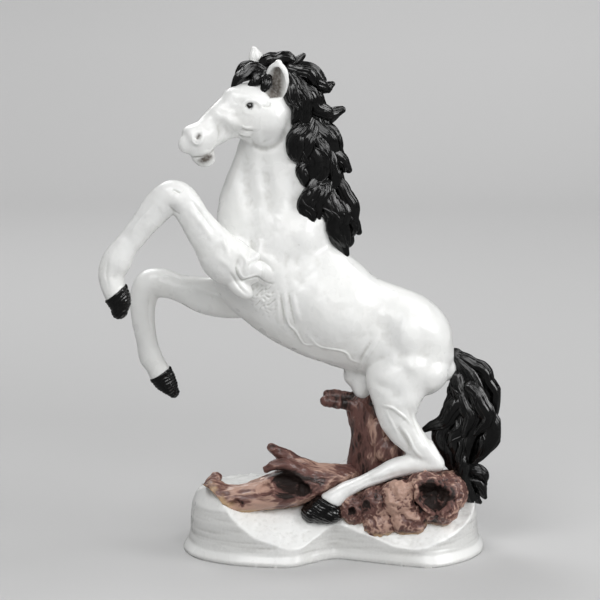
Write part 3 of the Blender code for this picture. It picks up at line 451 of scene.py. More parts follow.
# The rough patch of glue below the shoulder: centre, reach, size of the crumbs, height.
CRUMBS_AT = (-21.5, -25, 121.5)
CRUMBS_REACH = (7.0, 9.0, 9.0)
CRUMB_SIZE = 1.7
CRUMB_HEIGHT = 0.75

# Lines of the face, drawn on both cheeks, with their places on the head's own middle plane.
FACE_LINES = [
    ([(-38.2, 234), (-36.2, 237.2), (-33, 238.4), (-29.8, 237.4), (-27.6, 235)], 0.8, 0.6),
    ([(-37.6, 232.4), (-35.4, 230.9), (-32.4, 230.6)], 0.8, 0.2),
    ([(-27, 235), (-24.8, 234.6), (-22.8, 235), (-22, 236.4)], 0.55, -0.6),
    ([(-24.4, 236.4), (-22.6, 237.6), (-20.6, 236.8)], 0.7, 0.4),
    ([(-38, 223.6), (-35.4, 222.6), (-32.6, 222.6)], 0.8, 0.7),
    ([(-37.8, 221.8), (-35, 220.4), (-31.6, 220.2)], 0.8, -1.8),
    ([(-38.4, 219.8), (-35.6, 218.2), (-33, 217.8)], 0.8, 0.8),
    ([(-37.4, 217.8), (-34.6, 216), (-31.8, 215.6)], 0.8, -1.7),
    ([(-38, 215.2), (-35.2, 213.8), (-33, 213.6)], 0.8, 0.6),
    ([(-31.2, 222), (-31.4, 216.5), (-28.4, 211.6), (-24.5, 209), (-20.5, 209.2), (-16, 212),
      (-12.8, 216.6), (-11.8, 223), (-12.8, 229)], 2.2, -1.3),
    ([(-28.6, 219), (-26.5, 214.4), (-23.5, 212.4), (-20.5, 212.8), (-17.5, 215), (-15.4, 219)],
     2.2, 0.7),
    ([(-52, 226.5), (-46.5, 230), (-41, 232)], 1.8, 0.6),
    ([(-50.5, 224), (-49.4, 219), (-50.5, 214)], 1.0, -0.5),
    ([(-47.6, 222.6), (-46.6, 218), (-47.4, 214)], 1.3, 0.5),
    ([(-66, 222), (-60, 224.4), (-54, 228)], 1.4, 0.4),
]
FACE_PRESSES = [
    (-50, 221, 4.4, 6, 10, -0.7), (-43, 225, 3.6, 3.4, 0, 0.8), (-63.6, 212.5, 2.6, 2.8, 0, -0.8),
    (-60, 221, 3, 2, 30, 0.6), (-6, 226, 3, 7, 0, -1.4),
]
NOSTRIL_LINE = ([(-62.8, 216.4), (-61.9, 218.2), (-60.6, 219.8)], 1.3, -2.4)
NOSTRIL_RIM = (
    [(-64.8, 218.8), (-64.6, 215.4), (-62, 213.8), (-59.8, 216.4), (-59.2, 219.5)], 0.8, 0.7
)
MOUTH_LINE = (
    [(-68, 206.4), (-64, 205.6), (-60.5, 205.6), (-56.5, 206.8), (-52.5, 208.6), (-49, 210.2)],
    0.75, -1.6,
)
MOUTH_INSIDE = (-56.4, 204.7, 5.0, 2.2, -26, -1.3)
# How strongly the brown wash lies in the ears, the nostrils, the mouth and between the lips.
EAR_WASH = 1.15
NOSTRIL_WASH = 0.8
MOUTH_WASH = 1.6
LIPS_WASH = 0.55
LOWER_LIP = (
    [(-63, 203.4), (-60.4, 201.2), (-57.2, 200), (-54, 200.8), (-51, 203.6), (-48, 208.6)], 0.7, 0.6
)
# The black paint round the eye.
EYE_INK = ([(-35.4, 234.0), (-34.2, 235.2), (-33.0, 235.4), (-31.8, 235.2)], 2.3, 0)

# Lines of the raised foreleg: groove of the forearm, pits and folds of the knee.
FORELEG_LINES = [
    ([(-62, 180), (-56, 172.5), (-50.5, 164.5)], 1.0, -1.0),
    ([(-64, 176), (-57, 167.5), (-51, 158.5)], 1.6, 0.7),
    ([(-74, 188), (-71, 186.6), (-69.2, 185.6)], 0.7, -0.9),
    ([(-76, 178.5), (-73, 174.6), (-70, 173)], 0.8, -0.7),
    ([(-45, 160), (-43.5, 155), (-42, 150)], 1.3, 0.8),
    ([(-50, 150), (-44, 145), (-39, 140)], 1.8, 0.5),
    ([(-98, 163), (-92, 171), (-86, 177.5)], 1.0, 0.5),
    ([(-112, 146), (-113, 138), (-111.5, 130)], 1.0, -0.5),
]
FORELEG_PRESSES = [
    (-57, 172, 3, 9, 40, -1.0), (-44, 158, 4, 7, 35, 1.0), (-48, 146, 5, 8, 40, 0.8),
    (-72, 181, 4, 4, 0, 0.8), (-100, 158, 3, 8, -35, -0.6), (-108, 136, 2.4, 5, 0, -0.7),
]
FAR_FORELEG_LINES = [
    ([(-86, 128.5), (-80, 129.5), (-72, 127)], 0.8, 0.5),
    ([(-91, 117), (-91.5, 105), (-90, 92)], 1.2, -0.5),
    ([(-60, 121), (-52, 119), (-46, 116)], 1.2, 0.6),
]


def add_slider(label, about, value, unit="LENGTH"):
    return FloatProperty(name=label, description=about, default=value, unit=unit, precision=5)


def add_colour(label, about, value):
    return FloatVectorProperty(
        name=label, description=about, default=value, subtype="COLOR", size=3, min=0.0, max=1.0
    )


class FigurineClay(bpy.types.PropertyGroup):
    """How finely the pieces are modelled."""

    horse_grain: add_slider("Horse grain", "Spacing of the horse's surface points", 0.00056)
    leg_grain: add_slider("Leg grain", "Spacing of a foreleg's surface points", 0.00045)
    wood_grain: add_slider("Wood grain", "Spacing of the wood's and rock's surface points", 0.00042)
    snow_grain: add_slider("Snow grain", "Spacing of the plinth's surface points", 0.00085)
    groove: add_slider("Hair groove", "How deep the grooves of a lock are cut", 0.14, unit="NONE")


class FigurinePaint(bpy.types.PropertyGroup):
    """The colours of the paints."""

    white: add_colour("White", "Gloss paint of the horse and the snow", (0.84, 0.845, 0.835))
    # Painted shade: the white greyed in the hollows, where shade falls.
    white_in_painted_shade: add_colour("White in hollows", "The same paint dulled by dust", (0.60, 0.60, 0.57))
    # On the plinth's wall this brown is painted shade.
    mouth: add_colour("Mouth and ears", "Thin brown wash in hollows", (0.12, 0.105, 0.09))
    black: add_colour("Black", "Gloss paint of the hair, hooves and eyes", (0.0012, 0.0012, 0.0012))
    # Worn paint and painted sheen: a lighter black on the ridges.
    black_worn_and_sheen: add_colour("Worn black", "The same paint on ridges", (0.012, 0.012, 0.0115))
    # Also the painted shade deep in the wood's and rock's hollows.
    wood_dark: add_colour("Dark wood", "Stain in the wood's recesses", (0.016, 0.008, 0.006))
    wood: add_colour("Wood", "Mauve brown of the wood and rock", (0.135, 0.064, 0.054))
    wood_light: add_colour("Rubbed wood", "Pink tan on the ridges", (0.44, 0.28, 0.22))
    sand: add_colour("Sand", "Ochre edge where rock meets snow", (0.50, 0.34, 0.20))


class FigurineStage(bpy.types.PropertyGroup):
    """The camera, the lamps and the backdrop."""

    distance: add_slider("Camera distance", "From the camera to the middle of the figurine", 1.5)
    height_angle: add_slider(
        "Camera height", "Angle above the horizon", math.radians(10), unit="ROTATION"
    )
    aim_height: add_slider("Aim height", "Height that the camera looks at", 0.151)
    lens: add_slider("Lens", "Focal length in millimetres", 150.75, unit="NONE")
    lamp_distance: add_slider("Lamp distance", "From each lamp to the figurine", 1.6)
    lamp_size: add_slider("Lamp size", "Side of each square soft box", 0.8)
    front_power: add_slider("Front lamp", "Power of the lamp above the camera", 6.2, unit="POWER")
    left_power: add_slider("Left lamp", "Power of the high lamp at the left", 9.6, unit="POWER")
    right_power: add_slider("Right lamp", "Power of the lamp at the right", 11.6, unit="POWER")
    rim_power: add_slider("Rim lamp", "Power of the lamp behind at the right", 6.0, unit="POWER")
    back_power: add_slider("Back lamp", "Power of the lamp behind at the left", 9.4, unit="POWER")
    room: add_slider("Room light", "Strength of the light all round", 0.2, unit="NONE")
    paper: add_colour("Paper", "Grey of the paper sweep's floor", (0.52, 0.52, 0.52))
    paper_back: add_colour("Paper behind", "Grey of the paper at the back", (0.60, 0.60, 0.60))
    paper_glow: add_slider("Paper glow", "Pale far end, for the camera only", 0.24, unit="NONE")


def place(x, y, z):
    """A point of the figurine in metres, from millimetres and a height above the level ground."""
    return Vector((x, y, z + GROUND_LEVEL)) * MM


def select_only(*objects):
    if bpy.context.object and bpy.context.object.mode != "OBJECT":
        bpy.ops.object.mode_set(mode="OBJECT")
    bpy.ops.object.select_all(action="DESELECT")
    for obj in objects:
        obj.select_set(True)
    bpy.context.view_layer.objects.active = objects[0] if objects else None


def apply_modifier(obj, kind, **settings):
    select_only(obj)
    bpy.ops.object.modifier_add(type=kind)
    step = obj.modifiers[-1]
    for name, value in settings.items():
        setattr(step, name, value)
    bpy.ops.object.modifier_apply(modifier=step.name)


def join(name, objects):
    """Joins the objects into the first, with its place in its mesh."""
    select_only(*objects)
    if len(objects) > 1:
        bpy.ops.object.join()
    made = bpy.context.object
    bpy.ops.object.transform_apply(location=True, rotation=True, scale=True)
    made.name = name
    made.data.name = name
    return made


def smooth_path(stations, steps):
    """Catmull-Rom through the stations."""
    rows = [Vector(s) for s in stations]
    rows = [rows[0] * 2 - rows[1], *rows, rows[-1] * 2 - rows[-2]]
    out = []
    for i in range(1, len(rows) - 2):
        a, b, c, d = rows[i - 1 : i + 3]
        for k in range(steps):
            t = k / steps
            bend = (a * 2 - b * 5 + c * 4 - d) * t * t + (b * 3 - a - c * 3 + d) * t**3
            out.append((b * 2 + (c - a) * t + bend) / 2)
    out.append(rows[-2])
    return out


def sections_of(stations, across, steps):
    """Centre, turn, half width and half depth of each ring, with a domed end at both ends."""
    path = smooth_path(stations, steps)
    centres = [place(*p[:3]) for p in path]
    last = len(path) - 1
    sections = []
    for i, p in enumerate(path):
        along = (centres[min(i + 1, last)] - centres[max(i - 1, 0)]).normalized()
        side = Vector(across)
        side = (side - along * side.dot(along)).normalized()
        turn = Matrix((side, along.cross(side), along)).transposed()
        sections.append((centres[i], turn, max(p[4], THINNEST) * MM, max(p[3], THINNEST) * MM))
    ends = []
    for section, way in ((sections[0], -1), (sections[-1], 1)):
        centre, turn, width, depth = section
        dome = []
        for out, share in END_DOME:
            tip = centre + turn.col[2] * way * out * min(width, depth)
            dome.append((tip, turn, width * share, depth * share))
        ends.append(dome)
    return ends[0][::-1] + sections + ends[1]


def draw_out(name, stations, across=(0, 1, 0), sides=WOOD_SIDES, steps=5):
    """A closed body drawn ring by ring through its stations and bridged, from an empty mesh."""
    select_only()
    bpy.ops.mesh.primitive_circle_add(vertices=3, radius=MM)
    made = bpy.context.object
    bpy.ops.object.mode_set(mode="EDIT")
    bpy.ops.mesh.delete(type="VERT")
    sections = sections_of(stations, across, steps)
    for centre, turn, width, depth in sections:
        bpy.ops.mesh.primitive_circle_add(
            vertices=sides, radius=(width + depth) / 2, location=centre, rotation=turn.to_euler()
        )
    bpy.ops.mesh.select_all(action="SELECT")
    bpy.ops.mesh.bridge_edge_loops(type="SINGLE")
    bpy.ops.mesh.select_all(action="SELECT")
    bpy.ops.mesh.fill_holes(sides=0)
    bpy.ops.object.mode_set(mode="OBJECT")
    squeeze_rings(made, sections, sides)
    bpy.ops.object.mode_set(mode="EDIT")
    bpy.ops.mesh.select_all(action="SELECT")
    bpy.ops.mesh.normals_make_consistent(inside=False)
    bpy.ops.object.mode_set(mode="OBJECT")
    return join(name, [made])


def squeeze_rings(obj, sections, sides):
    """Squeezes each round ring to its section's half width and half depth."""
    points = np.empty(len(obj.data.vertices) * 3)
    obj.data.vertices.foreach_get("co", points)
    for ring, (centre, turn, width, depth) in zip(points.reshape(-1, sides, 3), sections):
        centre, turn = np.array(centre), np.array(turn)
        mean = (width + depth) / 2
        ring[:] = (ring - centre) @ turn * (width / mean, depth / mean, 1.0) @ turn.T + centre
    obj.data.vertices.foreach_set("co", points)
    obj.data.update()


def lump(name, x, y, z, along, across, up, tilt=0.0):
    """An ellipsoid of clay, tilted about the Y axis."""
    select_only()
    bpy.ops.mesh.primitive_uv_sphere_add(
        segments=LUMP_SIDES, ring_count=LUMP_RINGS, radius=1.0,
        location=place(x, y, z), rotation=(0, math.radians(tilt), 0),
    )
    made = bpy.context.object
    made.scale = (along * MM, across * MM, up * MM)
    return join(name, [made])


def fuse(obj, grain, rounds):
    """Fuses the overlapping forms of one casting and softens its creases."""
    apply_modifier(obj, "REMESH", mode="VOXEL", voxel_size=grain)
    apply_modifier(obj, "SMOOTH", factor=0.5, iterations=rounds)


def carve(obj, cutter):
    """Takes a cutter's shape out of the piece, and removes the cutter."""
    apply_modifier(obj, "BOOLEAN", operation="DIFFERENCE", solver="EXACT", object=cutter)
    bpy.data.objects.remove(cutter, do_unlink=True)


def bisect(obj, point, way, keep_outer, reach=1.0):
    """Cuts the part of a piece within reach of the point across, and closes the cut."""
    select_only(obj)
    bpy.ops.object.mode_set(mode="EDIT")
    bpy.ops.mesh.select_all(action="DESELECT")
    shape = bmesh.from_edit_mesh(obj.data)
    for face in shape.faces:
        face.select_set((face.calc_center_median() - point).length < reach)
    bmesh.update_edit_mesh(obj.data)
    bpy.ops.mesh.bisect(
        plane_co=point, plane_no=way, use_fill=True,
        clear_inner=keep_outer, clear_outer=not keep_outer,
    )
    bpy.ops.object.mode_set(mode="OBJECT")


def lighten(obj):
    """Thins a piece that has too many faces."""
    count = sum(len(face.vertices) - 2 for face in obj.data.polygons)
    if count > MOST_TRIANGLES:
        apply_modifier(obj, "DECIMATE", ratio=MOST_TRIANGLES / count)


class Clay:
    """The points of a piece while it is worked by hand."""

    def __init__(self, obj):
        self.obj = obj
        self.mesh = obj.data
        self.points = np.empty(len(self.mesh.vertices) * 3)
        self.mesh.vertices.foreach_get("co", self.points)
        self.points = self.points.reshape(-1, 3)
        self.read_normals()

    def read_normals(self):
        self.normals = np.empty(len(self.mesh.vertices) * 3)
        self.mesh.vertex_normals.foreach_get("vector", self.normals)
        self.normals = self.normals.reshape(-1, 3)

    def set_down(self):
        """Writes the points back, inside the figurine's own box."""
        low, high = (np.array(corner) for corner in cad_box)
        self.points = np.clip(self.points, low, high)
        self.mesh.vertices.foreach_set("co", self.points.ravel())
        self.mesh.update()
        self.read_normals()

    def note(self, name, values):
        """Keeps a value for each point, for the paint."""
        layer = self.mesh.attributes.get(name) or self.mesh.attributes.new(name, "FLOAT", "POINT")
        layer.data.foreach_set("value", np.asarray(values, dtype=np.float32))

    def away_from(self, centre, reach, tilt):
        """How far each point lies from a centre, as shares of a tilted reach along x, y and z."""
        turn = np.array(Matrix.Rotation(-math.radians(tilt), 3, "Y"))
        return (self.points - np.array(centre)) @ turn.T / (np.array(reach) * MM)

    def swell(self, centre, reach, tilt, height):
        """Raises (+) or hollows (-) a soft muscle round a centre."""
        away = self.away_from(centre, reach, tilt)
        near = np.exp(-np.minimum((away**2).sum(1), 40.0))
        self.points += self.normals * (near * height * MM)[:, None]
        return near

    def touch(self, start, way):
        """Where a needle that comes from start meets the piece."""
        hit, spot, _, _ = self.obj.ray_cast(start, way)
        return np.array(spot) if hit else None

    def line_share(self, spots, half_width):
        """How much of a drawn line lies on each point, fading beside it and at its ends."""
        spots = np.array(spots)
        low = spots.min(0) - 3 * half_width * MM
        high = spots.max(0) + 3 * half_width * MM
        close = np.nonzero(((self.points > low) & (self.points < high)).all(1))[0]
        share = np.zeros(len(self.points))
        if not len(close):
            return share
        gaps = ((self.points[close, None, :] - spots[None]) ** 2).sum(2)
        nearest = gaps.argmin(1)
        ends = np.sin(math.pi * (nearest + 0.5) / len(spots)) ** 0.5
        share[close] = np.exp(-gaps.min(1) / (half_width * MM) ** 2) * ends
        return share


def from_side(side):
    """A needle for the body's near (-1) or far (+1) side: its start for (x, z), and its way."""

    def start(x, z):
        return place(x, BODY_NEEDLE * side, z)

    return start, Vector((0, -side, 0))


def head_place(x, across, z):
    """A point of the head, so far across its turned middle plane."""
    share = (x - HEAD[0][0]) / (HEAD[-1][0] - HEAD[0][0])
    return (x + across * HEAD_ACROSS[0], HEAD[-1][1] * share + across * HEAD_ACROSS[1], z)


def from_cheek(side):
    """A needle for the near (-1) or far (+1) cheek."""

    def start(x, z):
        return place(*head_place(x, HEAD_NEEDLE * side, z))

    return start, (Vector(HEAD_ACROSS) * -side).normalized()


def draw_lines(clay, lines, needle):
    """Draws raised (+) or cut (-) lines, and returns how much of them lies on each point."""
    start, way = needle
    marks = []
    for points, half_width, height in lines:
        path = smooth_path([(x, z, 0) for x, z in points], 14)
        spots = [clay.touch(start(p.x, p.y), way) for p in path]
        marks.append(([s for s in spots if s is not None], half_width, height))
    total = np.zeros(len(clay.points))
    for spots, half_width, height in marks:
        if spots:
            share = clay.line_share(spots, half_width)
            clay.points += clay.normals * (share * height * MM)[:, None]
            total = np.maximum(total, share)
    return total


def press(clay, presses, needle):
    """Presses (-) or raises (+) soft spots, and returns how much of them lies on each point."""
    start, way = needle
    spots = [clay.touch(start(x, z), way) for x, z, *_ in presses]
    total = np.zeros(len(clay.points))
    for spot, (_, _, reach_x, reach_z, tilt, height) in zip(spots, presses):
        if spot is not None:
            depth = (reach_x + reach_z) / 2
            near = clay.swell(spot, (reach_x, depth, reach_z), tilt, height)
            total = np.maximum(total, near)
    return total


def cloud(name, size, hard=False, depth=1):
    """A clouds texture whose blobs are that many millimetres across."""
    texture = bpy.data.textures.new(name, "CLOUDS")
    texture.noise_scale = size * MM
    texture.noise_depth = depth
    texture.noise_type = "HARD_NOISE" if hard else "SOFT_NOISE"
    return texture


def roughen(obj, texture, height, stretch=(1, 1, 1), group=""):
    """Raises a texture's relief, stretched along the grain, and returns how far each point rose."""
    select_only()
    bpy.ops.object.empty_add()
    guide = bpy.context.object
    guide.scale = stretch
    before = Clay(obj)
    apply_modifier(
        obj, "DISPLACE", texture=texture, texture_coords="OBJECT", texture_coords_object=guide,
        strength=height * MM, mid_level=0.5, vertex_group=group,
    )
    bpy.data.objects.remove(guide, do_unlink=True)
    after = Clay(obj)
    return ((after.points - before.points) * before.normals).sum(1) / MM


def ground_rise(x, y):
    """How far the ground rises above its own level, in millimetres."""
    rise = 0.0
    for centre_x, centre_y, reach_x, reach_y, height in GROUND_SHAPE:
        away_x, away_y = (x - centre_x) / reach_x, (y - centre_y) / reach_y
        rise = rise + height * np.exp(-(away_x**2) - away_y**2)
    return rise


def relieve(obj, reliefs, prefix=""):
    """Gives a casting its soft reliefs."""
    for name, size, height in reliefs:
        roughen(obj, cloud(prefix + name, size), height)


def bed_in(clay):
    """Keeps a piece from going deeper into the snow than its seat."""
    x, y = clay.points[:, 0] / MM, clay.points[:, 1] / MM
    floor = (ground_rise(x, y) + GROUND_LEVEL - SEAT_DEPTH) * MM
    clay.points[:, 2] = np.maximum(clay.points[:, 2], floor)


def hand_over(obj, material, node):
    """Paints a finished piece and sets it in the place of its solid."""
    obj.data.materials.clear()
    obj.data.materials.append(material)
    select_only(obj)
    bpy.ops.object.shade_smooth()
    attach(obj, "root")
    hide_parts(node)


def ear_leaf(ear):
    """The ear's solid leaf, before its cup is scooped."""
    root, tip, width, thickness, across = ear
    root, tip = Vector(root), Vector(tip)
    stations = [
        (*root.lerp(tip, share), thickness * (1 + part) / 2, width * part)
        for share, part in EAR_PROFILE
    ]
    return draw_out("ear", stations, across=across, sides=EAR_SIDES, steps=BODY_STEPS)


def far_hind_leg():
    """The far leg down to its hock, and its cannon, from the near ones."""
    stations = NEAR_HIND_LEG + NEAR_CANNON
    rows = []
    for i, (x, y, z, depth, width) in enumerate(stations):
        share = (i / (len(stations) - 1)) ** 2
        back = FAR_HOOF_BACK * share - FAR_LEG_FORWARD
        rows.append((x + back, -y, z + FAR_HOOF_LIFT * share, depth, width))
    return rows[: len(NEAR_HIND_LEG)], rows[len(NEAR_HIND_LEG) :]


def far_side(x, y, z, *rest):
    """The same place at the far hind hoof."""
    return (x + FAR_HOOF_BACK - FAR_LEG_FORWARD, -y, z + FAR_HOOF_LIFT, *rest)


def hind_leg(name, shin, cannon, heel, coronet):
    """A hind leg down to its coronet."""
    forms = [
        draw_out(name, stations, sides=LEG_SIDES, steps=BODY_STEPS) for stations in (shin, cannon)
    ]
    leg = join(name, [*forms, lump(name, *heel)])
    point, way = coronet
    fuse(leg, *HIND_LEG_BLEND)
    bisect(leg, place(*point), way, keep_outer=False, reach=HIND_CUT)
    return leg


def hollow_ear(clay, ear, side_way, depth):
    """Scoops the cup of an ear, and returns how deep each point lies in it."""
    root, tip, width, _, across = ear
    root, tip = np.array(place(*root)), np.array(place(*tip))
    run = tip - root
    forward = np.cross(np.array(across), (0, 0, 1.0)) * side_way
    away = clay.points - root
    along = away @ run / (run @ run)
    aside = (away - along[:, None] * run) @ np.array(across) / (width * MM)
    out = (away - along[:, None] * run) @ forward / MM
    lip = 0.84 * np.clip(np.sin(math.pi * np.clip((along + 0.12) / 1.06, 0, 1)), 0.02, 1) ** 0.6
    cup = np.clip(1 - (aside / lip) ** 2, 0, 1) * (along > 0.1) * (along < 0.9)
    cup = cup * (clay.normals @ forward > 0.15) * (out > -1) * (out < 8)
    clay.points -= forward * (cup**0.6 * depth * MM)[:, None]
    return cup


def note_hollows(clay, gain):
    """Keeps how hollow (+) or proud (-) each point is, for the paint, and returns it."""
    hollow = np.clip(wear_of(clay) * gain, -1, 1)
    clay.note("hollow", hollow)
    return hollow


def wear_of(clay):
    """How far each point lies below (+) or above (-) the mean of its neighbours."""
    edges = np.empty(len(clay.mesh.edges) * 2, dtype=np.int64)
    clay.mesh.edges.foreach_get("vertices", edges)
    a, b = edges.reshape(-1, 2).T
    size = len(clay.points)
    count = np.bincount(a, minlength=size) + np.bincount(b, minlength=size)
    soft = clay.points.copy()
    for _ in range(WEAR_ROUNDS):
        total = np.zeros_like(soft)
        for k in range(3):
            total[:, k] = np.bincount(a, soft[b, k], size) + np.bincount(b, soft[a, k], size)
        soft = total / np.maximum(count, 1)[:, None]
    return ((soft - clay.points) * clay.normals).sum(1) / MM


def build_horse(props, paint):
    """Torso, neck, head, ears and hind legs, down to the coronets."""
    pieces = [
        draw_out("torso", TORSO, sides=TORSO_SIDES, steps=BODY_STEPS),
        draw_out("neck", NECK, sides=NECK_SIDES, steps=BODY_STEPS),
        draw_out("head", HEAD, across=HEAD_ACROSS, sides=HEAD_SIDES, steps=BODY_STEPS),
        hind_leg("near_leg", NEAR_HIND_LEG, NEAR_CANNON, HIND_HEEL, NEAR_HIND_CORONET),
        hind_leg(
            "far_leg", *far_hind_leg(), far_side(*HIND_HEEL),
            (far_side(*NEAR_HIND_CORONET[0]), NEAR_HIND_CORONET[1]),
        ),
        lump("chin", *CHIN),
        lump("sheath", *SHEATH),
        *(lump("buttock", *BUTTOCK[:1], side * BUTTOCK[1], *BUTTOCK[2:]) for side in (-1, 1)),
        lump("stifle", *STIFLE),
    ]
    horse = join("horse_casting", pieces)
    fuse(horse, *HORSE_BLEND)
    clay = Clay(horse)
    for side in (-1, 1):
        for x, y, z, *rest, tilt, height in MUSCLES:
            clay.swell(place(x, side * y, z), rest, tilt, height)
        for x, y, z, *rest, tilt, height in FACE:
            clay.swell(place(*head_place(x, side * y, z)), rest, tilt, height)
    clay.set_down()
    horse = join("horse_casting", [horse, ear_leaf(NEAR_EAR), ear_leaf(FAR_EAR)])
    fuse(horse, props.horse_grain, FINE_ROUNDS)
    relieve(horse, HORSE_RELIEF)
    clay = Clay(horse)
    cup = hollow_ear(clay, NEAR_EAR, 1, NEAR_EAR_CUP)
    cup = np.maximum(cup, hollow_ear(clay, FAR_EAR, -1, FAR_EAR_CUP))
    clay.set_down()
    for side in (-1, 1):
        body, cheek = from_side(side), from_cheek(side)
        press(clay, BODY_PRESSES, body)
        press(clay, FACE_PRESSES, cheek)
        clay.set_down()
        draw_lines(clay, BODY_LINES, body)
        draw_lines(clay, FACE_LINES, cheek)
        clay.set_down()
    press(clay, SHOULDER_PRESSES, from_side(-1))
    draw_lines(clay, SHOULDER_LINES, from_side(-1))
    clay.set_down()
    wash_and_shade = np.clip(EAR_WASH * cup**1.2, 0, 1)
    ink = np.zeros(len(clay.points))
    for side in (-1, 1):
        cheek = from_cheek(side)
        wash_and_shade = np.maximum(wash_and_shade, draw_lines(clay, [NOSTRIL_LINE], cheek) * NOSTRIL_WASH)
        draw_lines(clay, [NOSTRIL_RIM, LOWER_LIP], cheek)
        mouth = press(clay, [MOUTH_INSIDE], cheek) * MOUTH_WASH
        wash_and_shade = np.maximum(wash_and_shade, np.clip(mouth, 0, 1))
        wash_and_shade = np.maximum(wash_and_shade, draw_lines(clay, [MOUTH_LINE], cheek) * LIPS_WASH)
        ink = np.maximum(ink, draw_lines(clay, [EYE_INK], cheek))
    clay.set_down()
    clay.note("wash_and_shade", wash_and_shade)
    clay.note("ink", np.clip((ink - 0.35) * 5, 0, 1))
    crumble(clay)
    clay.set_down()
    lighten(horse)
    # How hollow each point is, for the painted shade of the white paint.
    note_hollows(Clay(horse), CASTING_SHADE)
    hand_over(horse, paint["white"], "horse")


def crumble(clay):
    """Raises the rough patch of glue below the shoulder."""
    away = (clay.points - np.array(place(*CRUMBS_AT))) / MM
    near = np.exp(-((away / np.array(CRUMBS_REACH)) ** 2).sum(1))
    rise = np.zeros(len(clay.points))
    for i in np.nonzero(near > 0.05)[0]:
        rise[i] = bumpy(clay.points[i] / (CRUMB_SIZE * MM)) * near[i]
    clay.points += clay.normals * (rise * CRUMB_HEIGHT * MM)[:, None]


def bumpy(at):
    """A lumpy value of about -1 to 1 that varies smoothly from place to place."""
    x, y, z = at
    return (
        math.sin(1.7 * x + 2.1 * math.sin(1.3 * z + y))
        * math.sin(1.9 * z + 1.7 * math.sin(1.1 * x - y))
        * math.cos(0.7 * y + x - z)
    )


def build_foreleg(name, forms, coronet, lines, presses, props, paint, node):
    """A foreleg down to its coronet, worked on its near side."""
    leg = join(name, forms)
    point, way = coronet
    fuse(leg, *FORELEG_BLEND)
    fuse(leg, props.leg_grain, FINE_ROUNDS)
    bisect(leg, place(*point), way, keep_outer=False, reach=FORE_CUT)
    relieve(leg, FORELEG_RELIEF, name)
    clay = Clay(leg)
    press(clay, presses, from_side(-1))
    clay.set_down()
    draw_lines(clay, lines, from_side(-1))
    clay.set_down()
    # How hollow each point is, for the painted shade of the white paint.
    note_hollows(clay, CASTING_SHADE)
    clay.note("wash_and_shade", np.zeros(len(clay.points)))
    hand_over(leg, paint["white"], node)


def build_hoof(name, hoof, coronet, paint, node):
    """A hoof: the foot below the coronet, with a rim and ridges painted a lighter black for wear
    and sheen.
    """
    point, way = coronet
    fuse(hoof, *HOOF_BLEND)
    bisect(hoof, place(*point), way, keep_outer=True)
    hoof.name = name
    clay = Clay(hoof)
    axis = np.array(Vector(way).normalized())
    down = (clay.points - np.array(place(*point))) @ axis / MM
    centre = clay.points.mean(0)
    out = clay.points - centre - ((clay.points - centre) @ axis)[:, None] * axis
    out /= np.maximum(np.linalg.norm(out, axis=1), 1e-9)[:, None]
    ridge = HOOF_RIDGE * np.sin(down * 3.6 + 0.8 * np.sin(clay.points[:, 0] * 900))
    rim = HOOF_RIM * np.exp(-((down - 1.0) ** 2))
    clay.points += out * ((ridge + rim) * MM)[:, None]
    clay.set_down()
    relieve(hoof, HOOF_RELIEF, name)
    clay = Clay(hoof)
    bed_in(clay)
    clay.set_down()
    # The hoof's ridges are marked for a lighter black: wear and painted sheen.
    clay.note("worn_and_sheen", np.clip(ridge * 5, 0, 1))
    hand_over(hoof, paint["black"], node)


def build_eye(name, side, paint, node):
    """A gloss dome set in the near (-1) or far (+1) cheek."""
    x, across, z = EYE_AT
    ball = lump(name, *head_place(x, side * across, z), EYE_RADIUS, EYE_RADIUS, EYE_RADIUS)
    hand_over(ball, paint["eye"], node)


def lock_stations(points, breadth, thickness, phase):
    """The stations of a lock: full in the middle, blunt at the tip, and waved from side to side."""
    last = len(points) - 1
    stations = []
    for i, point in enumerate(points):
        share = i / last
        full = LOCK_ROOT + LOCK_SWELL * math.sin(math.pi * min(1.0, share / LOCK_FULL_BY) / 2)
        full *= 1.0 - LOCK_TAPER * share**LOCK_BLUNTNESS
        stations.append((*point, breadth * full, thickness * full))
    path = smooth_path(stations, 3)
    run = 0.0
    rows = []
    for i, row in enumerate(path):
        before, after = (Vector(path[k][:3]) for k in (max(i - 1, 0), min(i + 1, len(path) - 1)))
        aside = (after - before).cross(Vector((0, 1, 0))).normalized()
        run += (after - before).length / 2
        near_ends = math.sin(math.pi * i / (len(path) - 1)) ** 0.6
        swing = math.sin(math.tau * run / (LOCK_SWAY_LENGTH * breadth) + phase)
        step = aside * near_ends * LOCK_SWAY * row[3] * swing
        rows.append((*(Vector(row[:3]) + step), row[3], row[4]))
    return rows


